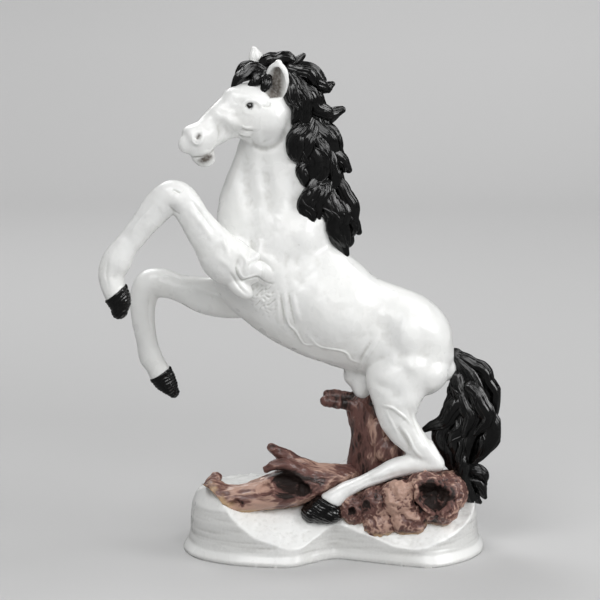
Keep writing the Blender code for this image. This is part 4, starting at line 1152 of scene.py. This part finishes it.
def flute(obj, sides, grooves, depth, twist, phase):
    """Cuts a lock's grooves along its length, and keeps the way of its strands for the paint."""
    mesh = obj.data
    points = np.empty(len(mesh.vertices) * 3)
    mesh.vertices.foreach_get("co", points)
    rings = points.reshape(-1, sides, 3)
    centres = rings.mean(1, keepdims=True)
    around = np.arange(sides)[None] / sides * math.tau
    along = np.arange(len(rings))[:, None] / len(rings)
    steps = np.linalg.norm(np.diff(centres[:, 0], axis=0), axis=1)
    run = np.concatenate([[0.0], np.cumsum(steps)])
    wind = twist * math.pi * along + 0.5 * np.sin(math.tau * along + phase)
    wave = 0.3 * np.sin(3 * around + 6 * along + phase)
    clumps = np.abs(np.sin(around * 2.5 + wind + phase + wave)) ** 0.55
    fine = np.abs(np.sin(around * grooves / 2 + wind * grooves / 5 + wave * 2)) ** 0.6
    cut = 1.0 - depth * (1.0 - clumps) - depth * 0.7 * (1.0 - fine)
    rings = centres + (rings - centres) * cut[:, :, None]
    mesh.vertices.foreach_set("co", rings.ravel())
    mesh.update()
    radius = np.linalg.norm(rings - centres, axis=2)
    strands = np.stack([np.cos(around) * radius, np.sin(around) * radius], axis=2)
    strands = np.concatenate([strands, np.repeat(run[:, None, None], sides, axis=1)], axis=2)
    layer = mesh.attributes.new("strand", "FLOAT_VECTOR", "POINT")
    layer.data.foreach_set("vector", (strands + phase * 0.01).ravel())
    # The ridges of the grooves are marked for a lighter black: wear and painted sheen.
    worn_and_sheen = mesh.attributes.new("worn_and_sheen", "FLOAT", "POINT")
    worn_and_sheen.data.foreach_set("value", ((fine * clumps - 0.7) * 3).clip(0, 1).ravel())


def build_locks(name, locks, ridge, depth):
    """Fluted locks with thin strands laid over them."""
    made = []
    if ridge:
        body = draw_out(name, ridge, sides=CREST_SIDES, steps=CREST_STEPS)
        flute(body, CREST_SIDES, grooves=15, depth=depth, twist=0.6, phase=0.3)
        made.append(body)
    for i, (points, breadth, thickness) in enumerate(locks):
        phase = 1.7 * i
        stations = lock_stations(points, breadth, thickness, phase)
        body = draw_out(name, stations, sides=LOCK_SIDES, steps=HAIR_STEPS)
        grooves, twist = 11 + 2 * (i % 2), 1.1 - 0.55 * (i % 5)
        flute(body, LOCK_SIDES, grooves=grooves, depth=depth, twist=twist, phase=phase)
        made.append(body)
        for k in range(STRANDS):
            path = strand_over(stations, k, i)
            thin = draw_out(name, path, sides=STRAND_SIDES, steps=HAIR_STEPS)
            flute(thin, STRAND_SIDES, grooves=2, depth=0.05, twist=0.2, phase=i + k)
            made.append(thin)
    return join(name, made)


def strand_over(stations, k, seed):
    """A thin strand that winds over a lock's surface."""
    rows = []
    last = len(stations) - 1
    angle = 0.9 + 1.3 * k + 0.7 * math.sin(2.3 * seed + k)
    for i, (x, y, z, depth, width) in enumerate(stations):
        share = i / last
        before, after = stations[max(i - 1, 0)], stations[min(i + 1, last)]
        run = Vector([after[axis] - before[axis] for axis in range(3)]).normalized()
        side = Vector((0, 1, 0))
        side = (side - run * side.dot(run)).normalized()
        up = side.cross(run)
        at = angle + 1.5 * math.sin(1.5 * math.pi * share + seed)
        out = side * (-math.cos(at) * width * STRAND_OUT) + up * (math.sin(at) * depth * STRAND_OUT)
        thick = STRAND_THICKNESS * ((depth + width) / 2)
        thick *= math.sin(math.pi * min(1, 0.12 + share)) ** 0.5
        thick = max(STRAND_THINNEST, thick)
        rows.append((x + out.x, y + out.y, z + out.z, thick, thick))
    return rows


def build_hair(name, locks, ridge, props, paint, node):
    """Hair as grooved locks, kept inside the figurine's own box."""
    hair = build_locks(name, locks, ridge, props.groove)
    Clay(hair).set_down()
    hand_over(hair, paint["hair"], node)


def build_wood(
    name, forms, props, material, node,
    hollows=(), folds=(), rubs=(), grain=(1, 1, 1), lumps=3.6, crumbs=0.4,
):
    """Wood or rock: fused forms with hollows, coarse lumps and a fine ridged grain."""
    wood = join(name, forms)
    fuse(wood, *WOOD_BLEND)
    for hollow in hollows:
        carve(wood, lump(name + "_hollow", *hollow))
    ridges = [draw_out(name + "_fold", fold, sides=FOLD_SIDES) for fold in folds]
    wood = join(name, [wood, *ridges])
    fuse(wood, props.wood_grain, FINE_ROUNDS)
    before = Clay(wood)
    roughen(wood, cloud(name + "_lumps", WOOD_LUMPS), lumps, grain)
    roughen(wood, cloud(name + "_ridges", WOOD_RIDGES, hard=True), -RIDGE_SHARE * lumps, grain)
    rise = ((Clay(wood).points - before.points) * before.normals).sum(1) / MM
    roughen(wood, cloud(name + "_crumbs", WOOD_CRUMBS, hard=True), -crumbs, grain)
    roughen(wood, cloud(name + "_grit", WOOD_GRIT), GRIT_HEIGHT, grain)
    clay = Clay(wood)
    bed_in(clay)
    clay.set_down()
    clay.note("relief", np.clip((rise - np.median(rise)) / lumps + 0.5, 0, 1))
    lighten(wood)
    clay = Clay(wood)
    note_hollows(clay, WOOD_DUST)
    # How far each point lies in a hollow, for the painted shade there.
    painted_cave_shade = np.zeros(len(clay.points))
    for hollow in hollows:
        painted_cave_shade = np.maximum(painted_cave_shade, inside(clay, *hollow, soft=CAVE_FADE))
    clay.note("painted_cave_shade", painted_cave_shade)
    rubbed = np.zeros(len(clay.points))
    for *spot, strength in rubs:
        rubbed += strength * inside(clay, *spot, soft=RUB_FADE)
    clay.note("rub", rubbed)
    points = clay.points / MM
    above = points[:, 2] - GROUND_LEVEL - ground_rise(points[:, 0], points[:, 1])
    clay.note("low", np.clip((SAND_TOP - above) / SAND_FADE, 0, 1))
    hand_over(wood, material, node)


def inside(clay, x, y, z, along, across, up, tilt, soft):
    """1 on the points that lie in a lump or on its skin, fading to 0 outside."""
    away = clay.away_from(place(x, y, z), (along, across, up), tilt)
    return np.clip((1 + soft - np.linalg.norm(away, axis=1)) / soft, 0, 1)


def draw_wall():
    """The plinth's outline drawn up and in through the stations of its wall, and its middle."""
    closed = [(*p, 0.0) for p in (*PLINTH_OUTLINE[-2:], *PLINTH_OUTLINE, *PLINTH_OUTLINE[:2])]
    first = 2 * OUTLINE_STEPS
    curve = smooth_path(closed, OUTLINE_STEPS)[first : first + OUTLINE_STEPS * len(PLINTH_OUTLINE)]
    low = [min(p[k] for p in PLINTH_OUTLINE) for k in range(2)]
    high = [max(p[k] for p in PLINTH_OUTLINE) for k in range(2)]
    half = [(high[k] - low[k]) / 2 for k in range(2)]
    middle = ((low[0] + high[0]) / 2 * MM, (low[1] + high[1]) / 2 * MM, 0)
    select_only()
    bpy.ops.mesh.primitive_circle_add(vertices=len(curve), radius=MM, fill_type="NGON")
    plinth = bpy.context.object
    bpy.ops.object.mode_set(mode="EDIT")
    outline = bmesh.from_edit_mesh(plinth.data)
    for vert, p in zip(outline.verts, curve):
        vert.co = (p.x * MM, p.y * MM, 0)
    bmesh.update_edit_mesh(plinth.data)
    height, share = 0.0, [1.0, 1.0]
    for next_height, inset in PLINTH_WALL[1:]:
        step = (0, 0, (next_height - height) * MM)
        bpy.ops.mesh.extrude_region_move(TRANSFORM_OT_translate={"value": step})
        wanted = [1 - inset / half[k] for k in range(2)]
        bpy.ops.transform.resize(
            value=(wanted[0] / share[0], wanted[1] / share[1], 1), center_override=middle
        )
        height, share = next_height, wanted
    bpy.ops.mesh.select_all(action="SELECT")
    bpy.ops.mesh.normals_make_consistent(inside=False)
    return join("snow_plinth", [plinth]), middle


def draw_sky(middle):
    """A block whose underside is the lie of the snow."""
    select_only()
    bpy.ops.mesh.primitive_grid_add(x_subdivisions=SKY_COLUMNS, y_subdivisions=SKY_ROWS, size=1.0)
    sky = bpy.context.object
    sky.scale = (*SKY_SIZE, 1)
    sky.location = middle
    sky = join("sky", [sky])
    clay = Clay(sky)
    rise = ground_rise(clay.points[:, 0] / MM, clay.points[:, 1] / MM)
    clay.points[:, 2] = (rise + GROUND_LEVEL) * MM
    sky.data.vertices.foreach_set("co", clay.points.ravel())
    sky.data.update()
    bpy.ops.object.mode_set(mode="EDIT")
    bpy.ops.mesh.select_all(action="SELECT")
    bpy.ops.mesh.extrude_region_move(TRANSFORM_OT_translate={"value": (0, 0, SKY_HEIGHT)})
    bpy.ops.mesh.select_all(action="SELECT")
    bpy.ops.mesh.normals_make_consistent(inside=False)
    bpy.ops.object.mode_set(mode="OBJECT")
    return sky


def build_plinth(props, paint):
    """The wavy plinth, cut off by the lie of the snow, with drifts on it and a scraped wall."""
    plinth, middle = draw_wall()
    carve(plinth, draw_sky(middle))
    fuse(plinth, props.snow_grain, SNOW_ROUNDS)
    clay = Clay(plinth)
    above_foot = np.clip((clay.points[:, 2] / MM - FOOT_HEIGHT) / 4, 0, 1)
    top = np.clip((clay.normals[:, 2] - 0.25) / 0.3, 0, 1) * above_foot
    wall = np.clip((0.5 - np.abs(clay.normals[:, 2])) / 0.3, 0, 1)
    for name, values in (("snow", top), ("wall", wall)):
        group = plinth.vertex_groups.new(name=name)
        for level in range(1, GROUP_LEVELS + 1):
            members = np.nonzero(np.round(values * GROUP_LEVELS) == level)[0]
            group.add(members.tolist(), level / GROUP_LEVELS, "REPLACE")
    for name, part, size, detail, height, stretch in PLINTH_RELIEF:
        roughen(plinth, cloud(name, size, depth=detail), height, stretch, part)
    clay = Clay(plinth)
    flat = clay.points[:, 2] < UNDERSIDE * MM
    clay.points[:, 2] = np.where(flat, 0.0, clay.points[:, 2])
    clay.set_down()
    # How hollow each point of the snow is, for the painted shade in its hollows.
    hollow = note_hollows(clay, SNOW_SHADE)
    # Painted shade: the wall, and more so its scrapes, is darkened with the brown wash.
    clay.note("wash_and_shade", wall * (0.2 + 0.25 * np.clip(hollow, 0, 1)))
    plinth.vertex_groups.clear()
    hand_over(plinth, paint["snow"], "plinth")


# Warmer white of a thick coat, dirt in a pinhole, brown of the eyes, and the paper in reflections.
CREAM = (0.80, 0.80, 0.765)
PINHOLE = (0.12, 0.115, 0.10)
EYE_BROWN = (0.022, 0.016, 0.012)
PAPER_IN_GLOSS = (0.03, 0.03, 0.03)


class Recipe:
    """A material's node tree, with short calls for the nodes that the paints share."""

    def __init__(self, name):
        self.material = bpy.data.materials.new(name)
        self.material.use_nodes = True
        self.tree = self.material.node_tree
        self.shader = self.tree.nodes["Principled BSDF"]

    def node(self, kind, **settings):
        made = self.tree.nodes.new(kind)
        for name, value in settings.items():
            setattr(made, name, value)
        return made

    def link(self, source, target):
        self.tree.links.new(source, target)

    def feed(self, value, socket):
        """Links an output to a socket, or sets the socket to a number or a colour."""
        if isinstance(value, bpy.types.NodeSocket):
            self.link(value, socket)
        elif isinstance(value, float):
            socket.default_value = value
        else:
            socket.default_value = (*value, 1.0)

    def place(self):
        return self.node("ShaderNodeTexCoord").outputs["Object"]

    def value_of(self, name):
        """A value that the clay noted for each point."""
        return self.node("ShaderNodeAttribute", attribute_name=name).outputs["Fac"]

    def noise(self, vector, scale, detail=3.0, roughness=0.5, distortion=0.0):
        made = self.node("ShaderNodeTexNoise")
        made.inputs["Scale"].default_value = scale
        made.inputs["Detail"].default_value = detail
        made.inputs["Roughness"].default_value = roughness
        made.inputs["Distortion"].default_value = distortion
        self.link(vector, made.inputs["Vector"])
        return made.outputs["Fac"]

    def stretched(self, vector, scale):
        made = self.node("ShaderNodeMapping")
        made.inputs["Scale"].default_value = scale
        self.link(vector, made.inputs["Vector"])
        return made.outputs["Vector"]

    def ramp(self, factor, *stops):
        """A colour ramp through the stops, each (place, colour)."""
        made = self.node("ShaderNodeValToRGB")
        elements = made.color_ramp.elements
        while len(elements) < len(stops):
            elements.new(0.5)
        for element, (at, colour) in zip(elements, stops):
            element.position = at
            element.color = (*colour, 1.0)
        self.link(factor, made.inputs["Fac"])
        return made.outputs["Color"]

    def grade(self, value, low, high, to_low=0.0, to_high=1.0):
        """Maps low to to_low and high to to_high, and holds the value between them."""
        made = self.node("ShaderNodeMapRange")
        made.inputs["From Min"].default_value = low
        made.inputs["From Max"].default_value = high
        made.inputs["To Min"].default_value = to_low
        made.inputs["To Max"].default_value = to_high
        self.link(value, made.inputs["Value"])
        return made.outputs["Result"]

    def mix(self, factor, a, b):
        """The colour a, turned to b by the factor."""
        made = self.node("ShaderNodeMix", data_type="RGBA")
        self.feed(factor, made.inputs[0])
        self.feed(a, made.inputs[6])
        self.feed(b, made.inputs[7])
        return made.outputs[2]

    def math(self, operation, a, b):
        made = self.node("ShaderNodeMath", operation=operation)
        self.feed(a, made.inputs[0])
        self.feed(b, made.inputs[1])
        return made.outputs[0]

    def bump(self, height, strength, distance, under=None):
        """Fine relief over the one under it."""
        made = self.node("ShaderNodeBump")
        made.inputs["Strength"].default_value = strength
        made.inputs["Distance"].default_value = distance
        self.link(height, made.inputs["Height"])
        if under:
            self.link(under, made.inputs["Normal"])
        return made.outputs["Normal"]

    def finish(self, colour, roughness, normal, **constants):
        """Links the shader, sets its constants and returns the material."""
        self.link(colour, self.shader.inputs["Base Color"])
        self.feed(roughness, self.shader.inputs["Roughness"])
        self.link(normal, self.shader.inputs["Normal"])
        for name, value in constants.items():
            self.shader.inputs[name.replace("_", " ")].default_value = value
        return self.material


def white_glaze(name, colours, pits):
    """Off-white gloss paint: brush waves, painted shade in the hollows, a few pinholes.

    The fewer cells have a pinhole, the nearer pits is to 1.
    """
    r = Recipe(name)
    at = r.place()
    tone = r.noise(at, 45, 3)
    colour = r.mix(r.grade(tone, 0.3, 0.75, 0.0, 0.35), colours.white, CREAM)
    # Painted shade: the white turns grey in the hollows.
    painted_shade = r.grade(r.value_of("hollow"), 0.05, 0.9, 0.0, 0.75)
    colour = r.mix(painted_shade, colour, colours.white_in_painted_shade)
    streaky = r.grade(r.noise(at, 700, 2), 0.3, 0.7, 0.8, 1.1)
    # The brown wash in ears, nostrils and mouth; on the plinth's wall the same mix is painted
    # shade.
    colour = r.mix(r.math("MULTIPLY", r.value_of("wash_and_shade"), streaky), colour, colours.mouth)
    colour = r.mix(r.value_of("ink"), colour, colours.black)
    cells = r.node("ShaderNodeTexVoronoi")
    cells.inputs["Scale"].default_value = 95
    r.link(at, cells.inputs["Vector"])
    picked = r.node("ShaderNodeSeparateColor")
    r.link(cells.outputs["Color"], picked.inputs["Color"])
    dot = r.grade(cells.outputs["Distance"], 0.025, 0.04, 1.0, 0.0)
    dot = r.math("MULTIPLY", dot, r.grade(picked.outputs["Red"], pits, pits + 0.01))
    colour = r.mix(dot, colour, PINHOLE)
    waves = r.noise(r.stretched(at, (1, 1, 0.6)), 230, 2, 0.45, 0.6)
    grit = r.noise(at, 1500, 2)
    normal = r.bump(waves, 0.16, 0.0006)
    normal = r.bump(grit, 0.05, 0.0002, normal)
    normal = r.bump(r.math("SUBTRACT", 1.0, dot), 0.6, 0.0004, normal)
    rough = r.grade(r.noise(at, 80, 2), 0.3, 0.7, 0.24, 0.38)
    return r.finish(colour, rough, normal, Coat_Weight=0.25, Coat_Roughness=0.16)


def black_gloss(name, colours, strand):
    """Black gloss paint, a little grey on ridges as wear and painted sheen, with fine strands or
    brush marks.
    """
    r = Recipe(name)
    at = r.place()
    if strand:
        way = r.node("ShaderNodeAttribute", attribute_name="strand").outputs["Vector"]
        lines = r.noise(r.stretched(way, (1, 1, 0.07)), 1300, 2, 0.5, 0.3)
    else:
        lines = r.noise(r.stretched(at, (1, 1, 0.35)), 900, 3)
    # Wear and painted sheen: ridges turn a lighter black.
    worn_and_sheen = r.math("MULTIPLY", r.value_of("worn_and_sheen"), r.grade(r.noise(at, 240, 3), 0.42, 0.68))
    colour = r.mix(worn_and_sheen, colours.black, colours.black_worn_and_sheen)
    normal = r.bump(lines, 0.45 if strand else 0.25, 0.0005)
    rough = r.grade(r.noise(at, 160, 3), 0.3, 0.7, 0.08, 0.17)
    return r.finish(colour, rough, normal, Specular_IOR_Level=0.6)


def eye_enamel(name, colours):
    """Brown-black enamel under a clear coat."""
    r = Recipe(name)
    at = r.place()
    colour = r.mix(r.grade(r.noise(at, 900, 2), 0.4, 0.7), colours.black, EYE_BROWN)
    normal = r.bump(r.noise(at, 600, 1), 0.04, 0.0002)
    return r.finish(colour, 0.06, normal, Coat_Weight=0.8, Coat_Roughness=0.03)


def stained_wood(name, colours, stretch, rosy):
    """Brown stain: dark in recesses, rubbed pink tan on ridges, varnished; painted shade in the
    deep hollows.

    The grain runs along the axis that stretch holds back. A rosier wood has larger tan patches.
    """
    r = Recipe(name)
    at = r.place()
    grain = r.noise(r.stretched(at, stretch), 260, 3, 0.5, 0.8)
    patch = r.noise(at, 60, 3, 0.55)
    level = r.math("ADD", r.value_of("relief"), r.grade(grain, 0.25, 0.75, -0.1, 0.1))
    level = r.math("ADD", level, r.grade(patch, 0.3, 0.7, -0.2, rosy))
    level = r.math("SUBTRACT", level, r.math("MULTIPLY", r.value_of("hollow"), 0.4))
    # Painted shade: the deep hollows turn to the darkest stain, rougher and without coat.
    painted_cave_shade = r.math("MULTIPLY", r.value_of("painted_cave_shade"), r.grade(r.noise(at, 130, 2), 0.3, 0.7, 0.6, 1.0))
    level = r.math("SUBTRACT", level, r.math("MULTIPLY", painted_cave_shade, 0.85))
    strength = r.grade(patch, 0.25, 0.6, 0.2, 0.45)
    strength = r.math("MULTIPLY", strength, r.grade(r.value_of("relief"), 0.2, 0.7, 0.5, 1.1))
    level = r.math("ADD", level, r.math("MULTIPLY", r.value_of("rub"), strength))
    colour = r.ramp(
        level,
        (0.06, colours.wood_dark),
        (0.45, colours.wood),
        (0.62, colours.wood),
        (1.0, colours.wood_light),
    )
    sandy = r.math("MULTIPLY", r.value_of("low"), r.grade(r.noise(at, 150, 3), 0.4, 0.6))
    colour = r.mix(sandy, colour, colours.sand)
    normal = r.bump(grain, 0.3, 0.0006)
    rough = r.grade(r.noise(at, 90, 2), 0.3, 0.7, 0.3, 0.46)
    rough = r.math("ADD", rough, r.math("MULTIPLY", painted_cave_shade, 0.4))
    r.link(r.grade(painted_cave_shade, 0.0, 0.7, 0.22, 0.0), r.shader.inputs["Coat Weight"])
    return r.finish(colour, rough, normal, Coat_Roughness=0.2, Specular_IOR_Level=0.35)


def mix_paints(colours):
    """The paints that the pieces share."""
    return {
        "white": white_glaze("white glaze", colours, 0.86),
        "snow": white_glaze("snow glaze", colours, 0.70),
        "black": black_gloss("black hoof paint", colours, False),
        "hair": black_gloss("black hair paint", colours, True),
        "eye": eye_enamel("eye enamel", colours),
        "log": stained_wood("log stain", colours, (0.35, 1, 1), 0.5),
        "stump": stained_wood("stump stain", colours, (1, 1, 0.3), 0.06),
        "rock": stained_wood("rock stain", colours, (1, 1, 1), 0.3),
    }


paints = {}


def paint_box(context):
    """The paints, mixed when the first piece asks for them."""
    if not paints:
        paints.update(mix_paints(context.scene.figurine_paint))
    return paints


class FIGURINE_OT_plinth(bpy.types.Operator):
    """Model the snowy plinth"""

    bl_idname = "figurine.plinth"
    bl_label = "Plinth"

    def execute(self, context):
        build_plinth(context.scene.figurine_clay, paint_box(context))
        return {"FINISHED"}


class FIGURINE_OT_horse(bpy.types.Operator):
    """Model the horse: torso, neck, head, ears and hind legs"""

    bl_idname = "figurine.horse"
    bl_label = "Horse"

    def execute(self, context):
        build_horse(context.scene.figurine_clay, paint_box(context))
        return {"FINISHED"}


class FIGURINE_OT_forelegs(bpy.types.Operator):
    """Model the two raised forelegs"""

    bl_idname = "figurine.forelegs"
    bl_label = "Forelegs"

    def execute(self, context):
        props, paint = context.scene.figurine_clay, paint_box(context)
        near = [
            draw_out("near_foreleg", NEAR_FORELEG, sides=LEG_SIDES, steps=LEG_STEPS),
            lump("elbow", *ELBOW),
        ]
        build_foreleg(
            "left_foreleg_casting", near, NEAR_FORE_CORONET, FORELEG_LINES + SHOULDER_LINES,
            FORELEG_PRESSES + SHOULDER_PRESSES, props, paint, "left_foreleg",
        )
        far = [draw_out("far_foreleg", FAR_FORELEG, sides=LEG_SIDES, steps=LEG_STEPS)]
        build_foreleg(
            "right_foreleg_casting", far, FAR_FORE_CORONET, FAR_FORELEG_LINES, [], props, paint,
            "right_foreleg",
        )
        return {"FINISHED"}


class FIGURINE_OT_hooves(bpy.types.Operator):
    """Model the four hooves"""

    bl_idname = "figurine.hooves"
    bl_label = "Hooves"

    def execute(self, context):
        paint = paint_box(context)
        far_coronet = (far_side(*NEAR_HIND_CORONET[0]), NEAR_HIND_CORONET[1])
        for name, stations, coronet in (
            ("left_fore", NEAR_FORELEG, NEAR_FORE_CORONET),
            ("right_fore", FAR_FORELEG, FAR_FORE_CORONET),
        ):
            toe = draw_out(name, stations[-FORE_HOOF_STATIONS:], sides=LEG_SIDES, steps=LEG_STEPS)
            build_hoof(name + "_hoof_shell", toe, coronet, paint, name + "_hoof")
        for name, stations, heel, coronet in (
            ("left_hind", NEAR_CANNON, HIND_HEEL, NEAR_HIND_CORONET),
            ("right_hind", far_hind_leg()[1], far_side(*HIND_HEEL), far_coronet),
        ):
            toe = draw_out(name, stations[-HIND_HOOF_STATIONS:], sides=LEG_SIDES, steps=LEG_STEPS)
            toe = join(name, [toe, lump(name + "_heel", *heel)])
            build_hoof(name + "_hoof_shell", toe, coronet, paint, name + "_hoof")
        return {"FINISHED"}


class FIGURINE_OT_eyes(bpy.types.Operator):
    """Set the two eyes"""

    bl_idname = "figurine.eyes"
    bl_label = "Eyes"

    def execute(self, context):
        paint = paint_box(context)
        build_eye("left_eye_ball", -1, paint, "left_eye")
        build_eye("right_eye_ball", 1, paint, "right_eye")
        return {"FINISHED"}


class FIGURINE_OT_mane(bpy.types.Operator):
    """Model the mane and the forelock"""

    bl_idname = "figurine.mane"
    bl_label = "Mane and forelock"

    def execute(self, context):
        props, paint = context.scene.figurine_clay, paint_box(context)
        build_hair("mane_locks", MANE_LOCKS + MANE_WAVES, MANE_CREST, props, paint, "mane")
        build_hair("forelock_locks", FORELOCK_LOCKS, None, props, paint, "forelock")
        return {"FINISHED"}


class FIGURINE_OT_tail(bpy.types.Operator):
    """Model the tail"""

    bl_idname = "figurine.tail"
    bl_label = "Tail"

    def execute(self, context):
        props, paint = context.scene.figurine_clay, paint_box(context)
        build_hair("tail_locks", TAIL_LOCKS, TAIL_DOCK, props, paint, "tail")
        return {"FINISHED"}


class FIGURINE_OT_ground(bpy.types.Operator):
    """Model the stump, the fallen log and the rock mound"""

    bl_idname = "figurine.ground"
    bl_label = "Stump, log and rock"

    def execute(self, context):
        props, paint = context.scene.figurine_clay, paint_box(context)
        stump = [draw_out("stump", form, steps=WOOD_STEPS) for form in (STUMP_TRUNK, *STUMP_TINES)]
        stump += [lump("root", *root) for root in STUMP_ROOTS]
        build_wood(
            "stump_wood", stump, props, paint["stump"], "tree_stump",
            rubs=STUMP_RUBS, grain=(0.8, 0.8, 2), lumps=2.0,
        )
        log = [draw_out("log", form, steps=WOOD_STEPS) for form in (LOG_TRUNK, *LOG_LIMBS)]
        build_wood(
            "log_wood", log, props, paint["log"], "fallen_log",
            hollows=LOG_HOLLOWS, rubs=LOG_RUBS, grain=(2.4, 0.8, 0.8), lumps=2.4,
        )
        rocks = [lump("rock", *rock) for rock in MOUND_ROCKS]
        build_wood(
            "mound_rock", rocks, props, paint["rock"], "rock_mound",
            hollows=MOUND_CAVES, folds=[MOUND_FOLD], rubs=MOUND_RUBS, crumbs=0.9,
        )
        return {"FINISHED"}


class FIGURINE_OT_stage(bpy.types.Operator):
    """Set the paper sweep, the lamps and the camera"""

    bl_idname = "figurine.stage"
    bl_label = "Stage"

    def execute(self, context):
        props = context.scene.figurine_stage
        build_sweep(props)
        build_light(context, props)
        build_camera(context, props)
        return {"FINISHED"}


# The paper sweep in metres: floor, how far it is set back, height behind, and its bend.
PAPER_SIZE = (7.0, 4.0)
PAPER_BACK = 0.4
PAPER_HEIGHT = 3.0
PAPER_BEND = 0.9


def build_sweep(props):
    """A paper sweep: a floor that curves up into a backdrop."""
    select_only()
    bpy.ops.mesh.primitive_plane_add(size=1.0)
    sweep = bpy.context.object
    sweep.scale = (*PAPER_SIZE, 1.0)
    sweep.location = (0, PAPER_BACK, 0)
    sweep = join("paper_sweep", [sweep])
    bpy.ops.object.mode_set(mode="EDIT")
    shape = bmesh.from_edit_mesh(sweep.data)
    bpy.ops.mesh.select_all(action="DESELECT")
    back = max(v.co.y for v in shape.verts)
    for edge in shape.edges:
        edge.select = all(v.co.y > back - 0.01 for v in edge.verts)
    bmesh.update_edit_mesh(sweep.data)
    bpy.ops.mesh.extrude_region_move(TRANSFORM_OT_translate={"value": (0, 0, PAPER_HEIGHT)})
    bpy.ops.object.mode_set(mode="OBJECT")
    apply_modifier(sweep, "BEVEL", width=PAPER_BEND, segments=24, limit_method="ANGLE")
    select_only(sweep)
    bpy.ops.object.shade_smooth()
    r = Recipe("grey paper")
    at = r.place()
    spot = r.node("ShaderNodeSeparateXYZ")
    r.link(at, spot.inputs["Vector"])
    back = r.grade(spot.outputs["Y"], 0.35, 2.0)
    colour = r.mix(back, props.paper, props.paper_back)
    colour = r.mix(r.grade(r.noise(at, 3, 2), 0.3, 0.7, 0.0, 0.04), colour, props.paper_back)
    seen = r.node("ShaderNodeLightPath").outputs
    colour = r.mix(r.math("MULTIPLY", seen["Is Glossy Ray"], 0.8), colour, PAPER_IN_GLOSS)
    glow = r.math("MULTIPLY", back, props.paper_glow)
    glow = r.math("ADD", glow, r.grade(spot.outputs["X"], -0.3, 0.3, -0.012, 0.012))
    glow = r.math("MULTIPLY", glow, seen["Is Camera Ray"])
    r.shader.inputs["Emission Color"].default_value = (1, 1, 1, 1)
    r.link(glow, r.shader.inputs["Emission Strength"])
    normal = r.bump(r.noise(at, 900, 2), 0.03, 0.0002)
    sweep.data.materials.append(r.finish(colour, 0.75, normal))
    r.shader.inputs["Specular IOR Level"].default_value = 0.2


def aim(obj, target):
    """Turns a lamp or the camera to its target."""
    obj.rotation_euler = (Vector(target) - obj.location).to_track_quat("-Z", "Y").to_euler()


def build_light(context, props):
    """Five soft boxes, each at an azimuth from the camera's side and a height, and a pale room."""
    target = Vector((0, 0, props.aim_height))
    for name, azimuth, rise, power in (
        ("front_lamp", 15, 30, props.front_power),
        ("left_lamp", -30, 50, props.left_power),
        ("right_lamp", 70, 25, props.right_power),
        ("rim_lamp", 110, 50, props.rim_power),
        ("back_lamp", -150, 45, props.back_power),
    ):
        azimuth, rise = math.radians(azimuth), math.radians(rise)
        level = math.cos(rise)
        way = Vector((math.sin(azimuth) * level, -math.cos(azimuth) * level, math.sin(rise)))
        bpy.ops.object.light_add(type="AREA", location=target + way * props.lamp_distance)
        lamp = context.object
        lamp.name = name
        lamp.data.size = props.lamp_size
        lamp.data.energy = power
        aim(lamp, target)
    world = bpy.data.worlds.new("studio")
    context.scene.world = world
    world.use_nodes = True
    room = world.node_tree.nodes["Background"]
    room.inputs["Color"].default_value = (1, 1, 1, 1)
    room.inputs["Strength"].default_value = props.room


def build_camera(context, props):
    """The camera in front of the figurine's left side."""
    reach = props.distance
    tilt = props.height_angle
    spot = (0, -reach * math.cos(tilt), props.aim_height + reach * math.sin(tilt))
    bpy.ops.object.camera_add(location=spot)
    camera = context.object
    camera.name = "camera"
    camera.data.lens = props.lens
    camera.data.sensor_width = 36.0
    aim(camera, (0, 0, props.aim_height))
    context.scene.camera = camera
    context.scene.view_settings.view_transform = "Standard"


PIECES = (
    FIGURINE_OT_plinth,
    FIGURINE_OT_horse,
    FIGURINE_OT_forelegs,
    FIGURINE_OT_hooves,
    FIGURINE_OT_eyes,
    FIGURINE_OT_mane,
    FIGURINE_OT_tail,
    FIGURINE_OT_ground,
    FIGURINE_OT_stage,
)


class FIGURINE_PT_sidebar(bpy.types.Panel):
    """Lists the pieces of the figurine and their settings"""

    bl_idname = "FIGURINE_PT_sidebar"
    bl_label = "Rearing Horse Figurine"
    bl_space_type = "VIEW_3D"
    bl_region_type = "UI"
    bl_category = "Figurine"

    def draw(self, context):
        for piece in PIECES:
            self.layout.operator(piece.bl_idname)
        scene = context.scene
        for group in (scene.figurine_clay, scene.figurine_paint, scene.figurine_stage):
            box = self.layout.box()
            for name in group.__annotations__:
                box.prop(group, name)


CLASSES = (FigurineClay, FigurinePaint, FigurineStage, *PIECES, FIGURINE_PT_sidebar)


def register():
    for cls in CLASSES:
        bpy.utils.register_class(cls)
    bpy.types.Scene.figurine_clay = PointerProperty(type=FigurineClay)
    bpy.types.Scene.figurine_paint = PointerProperty(type=FigurinePaint)
    bpy.types.Scene.figurine_stage = PointerProperty(type=FigurineStage)


def unregister():
    del bpy.types.Scene.figurine_stage
    del bpy.types.Scene.figurine_paint
    del bpy.types.Scene.figurine_clay
    for cls in reversed(CLASSES):
        bpy.utils.unregister_class(cls)


def main():
    """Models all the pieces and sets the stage."""
    register()
    for piece in PIECES:
        group, name = piece.bl_idname.split(".")
        getattr(getattr(bpy.ops, group), name)()


if __name__ == "__main__":
    main()
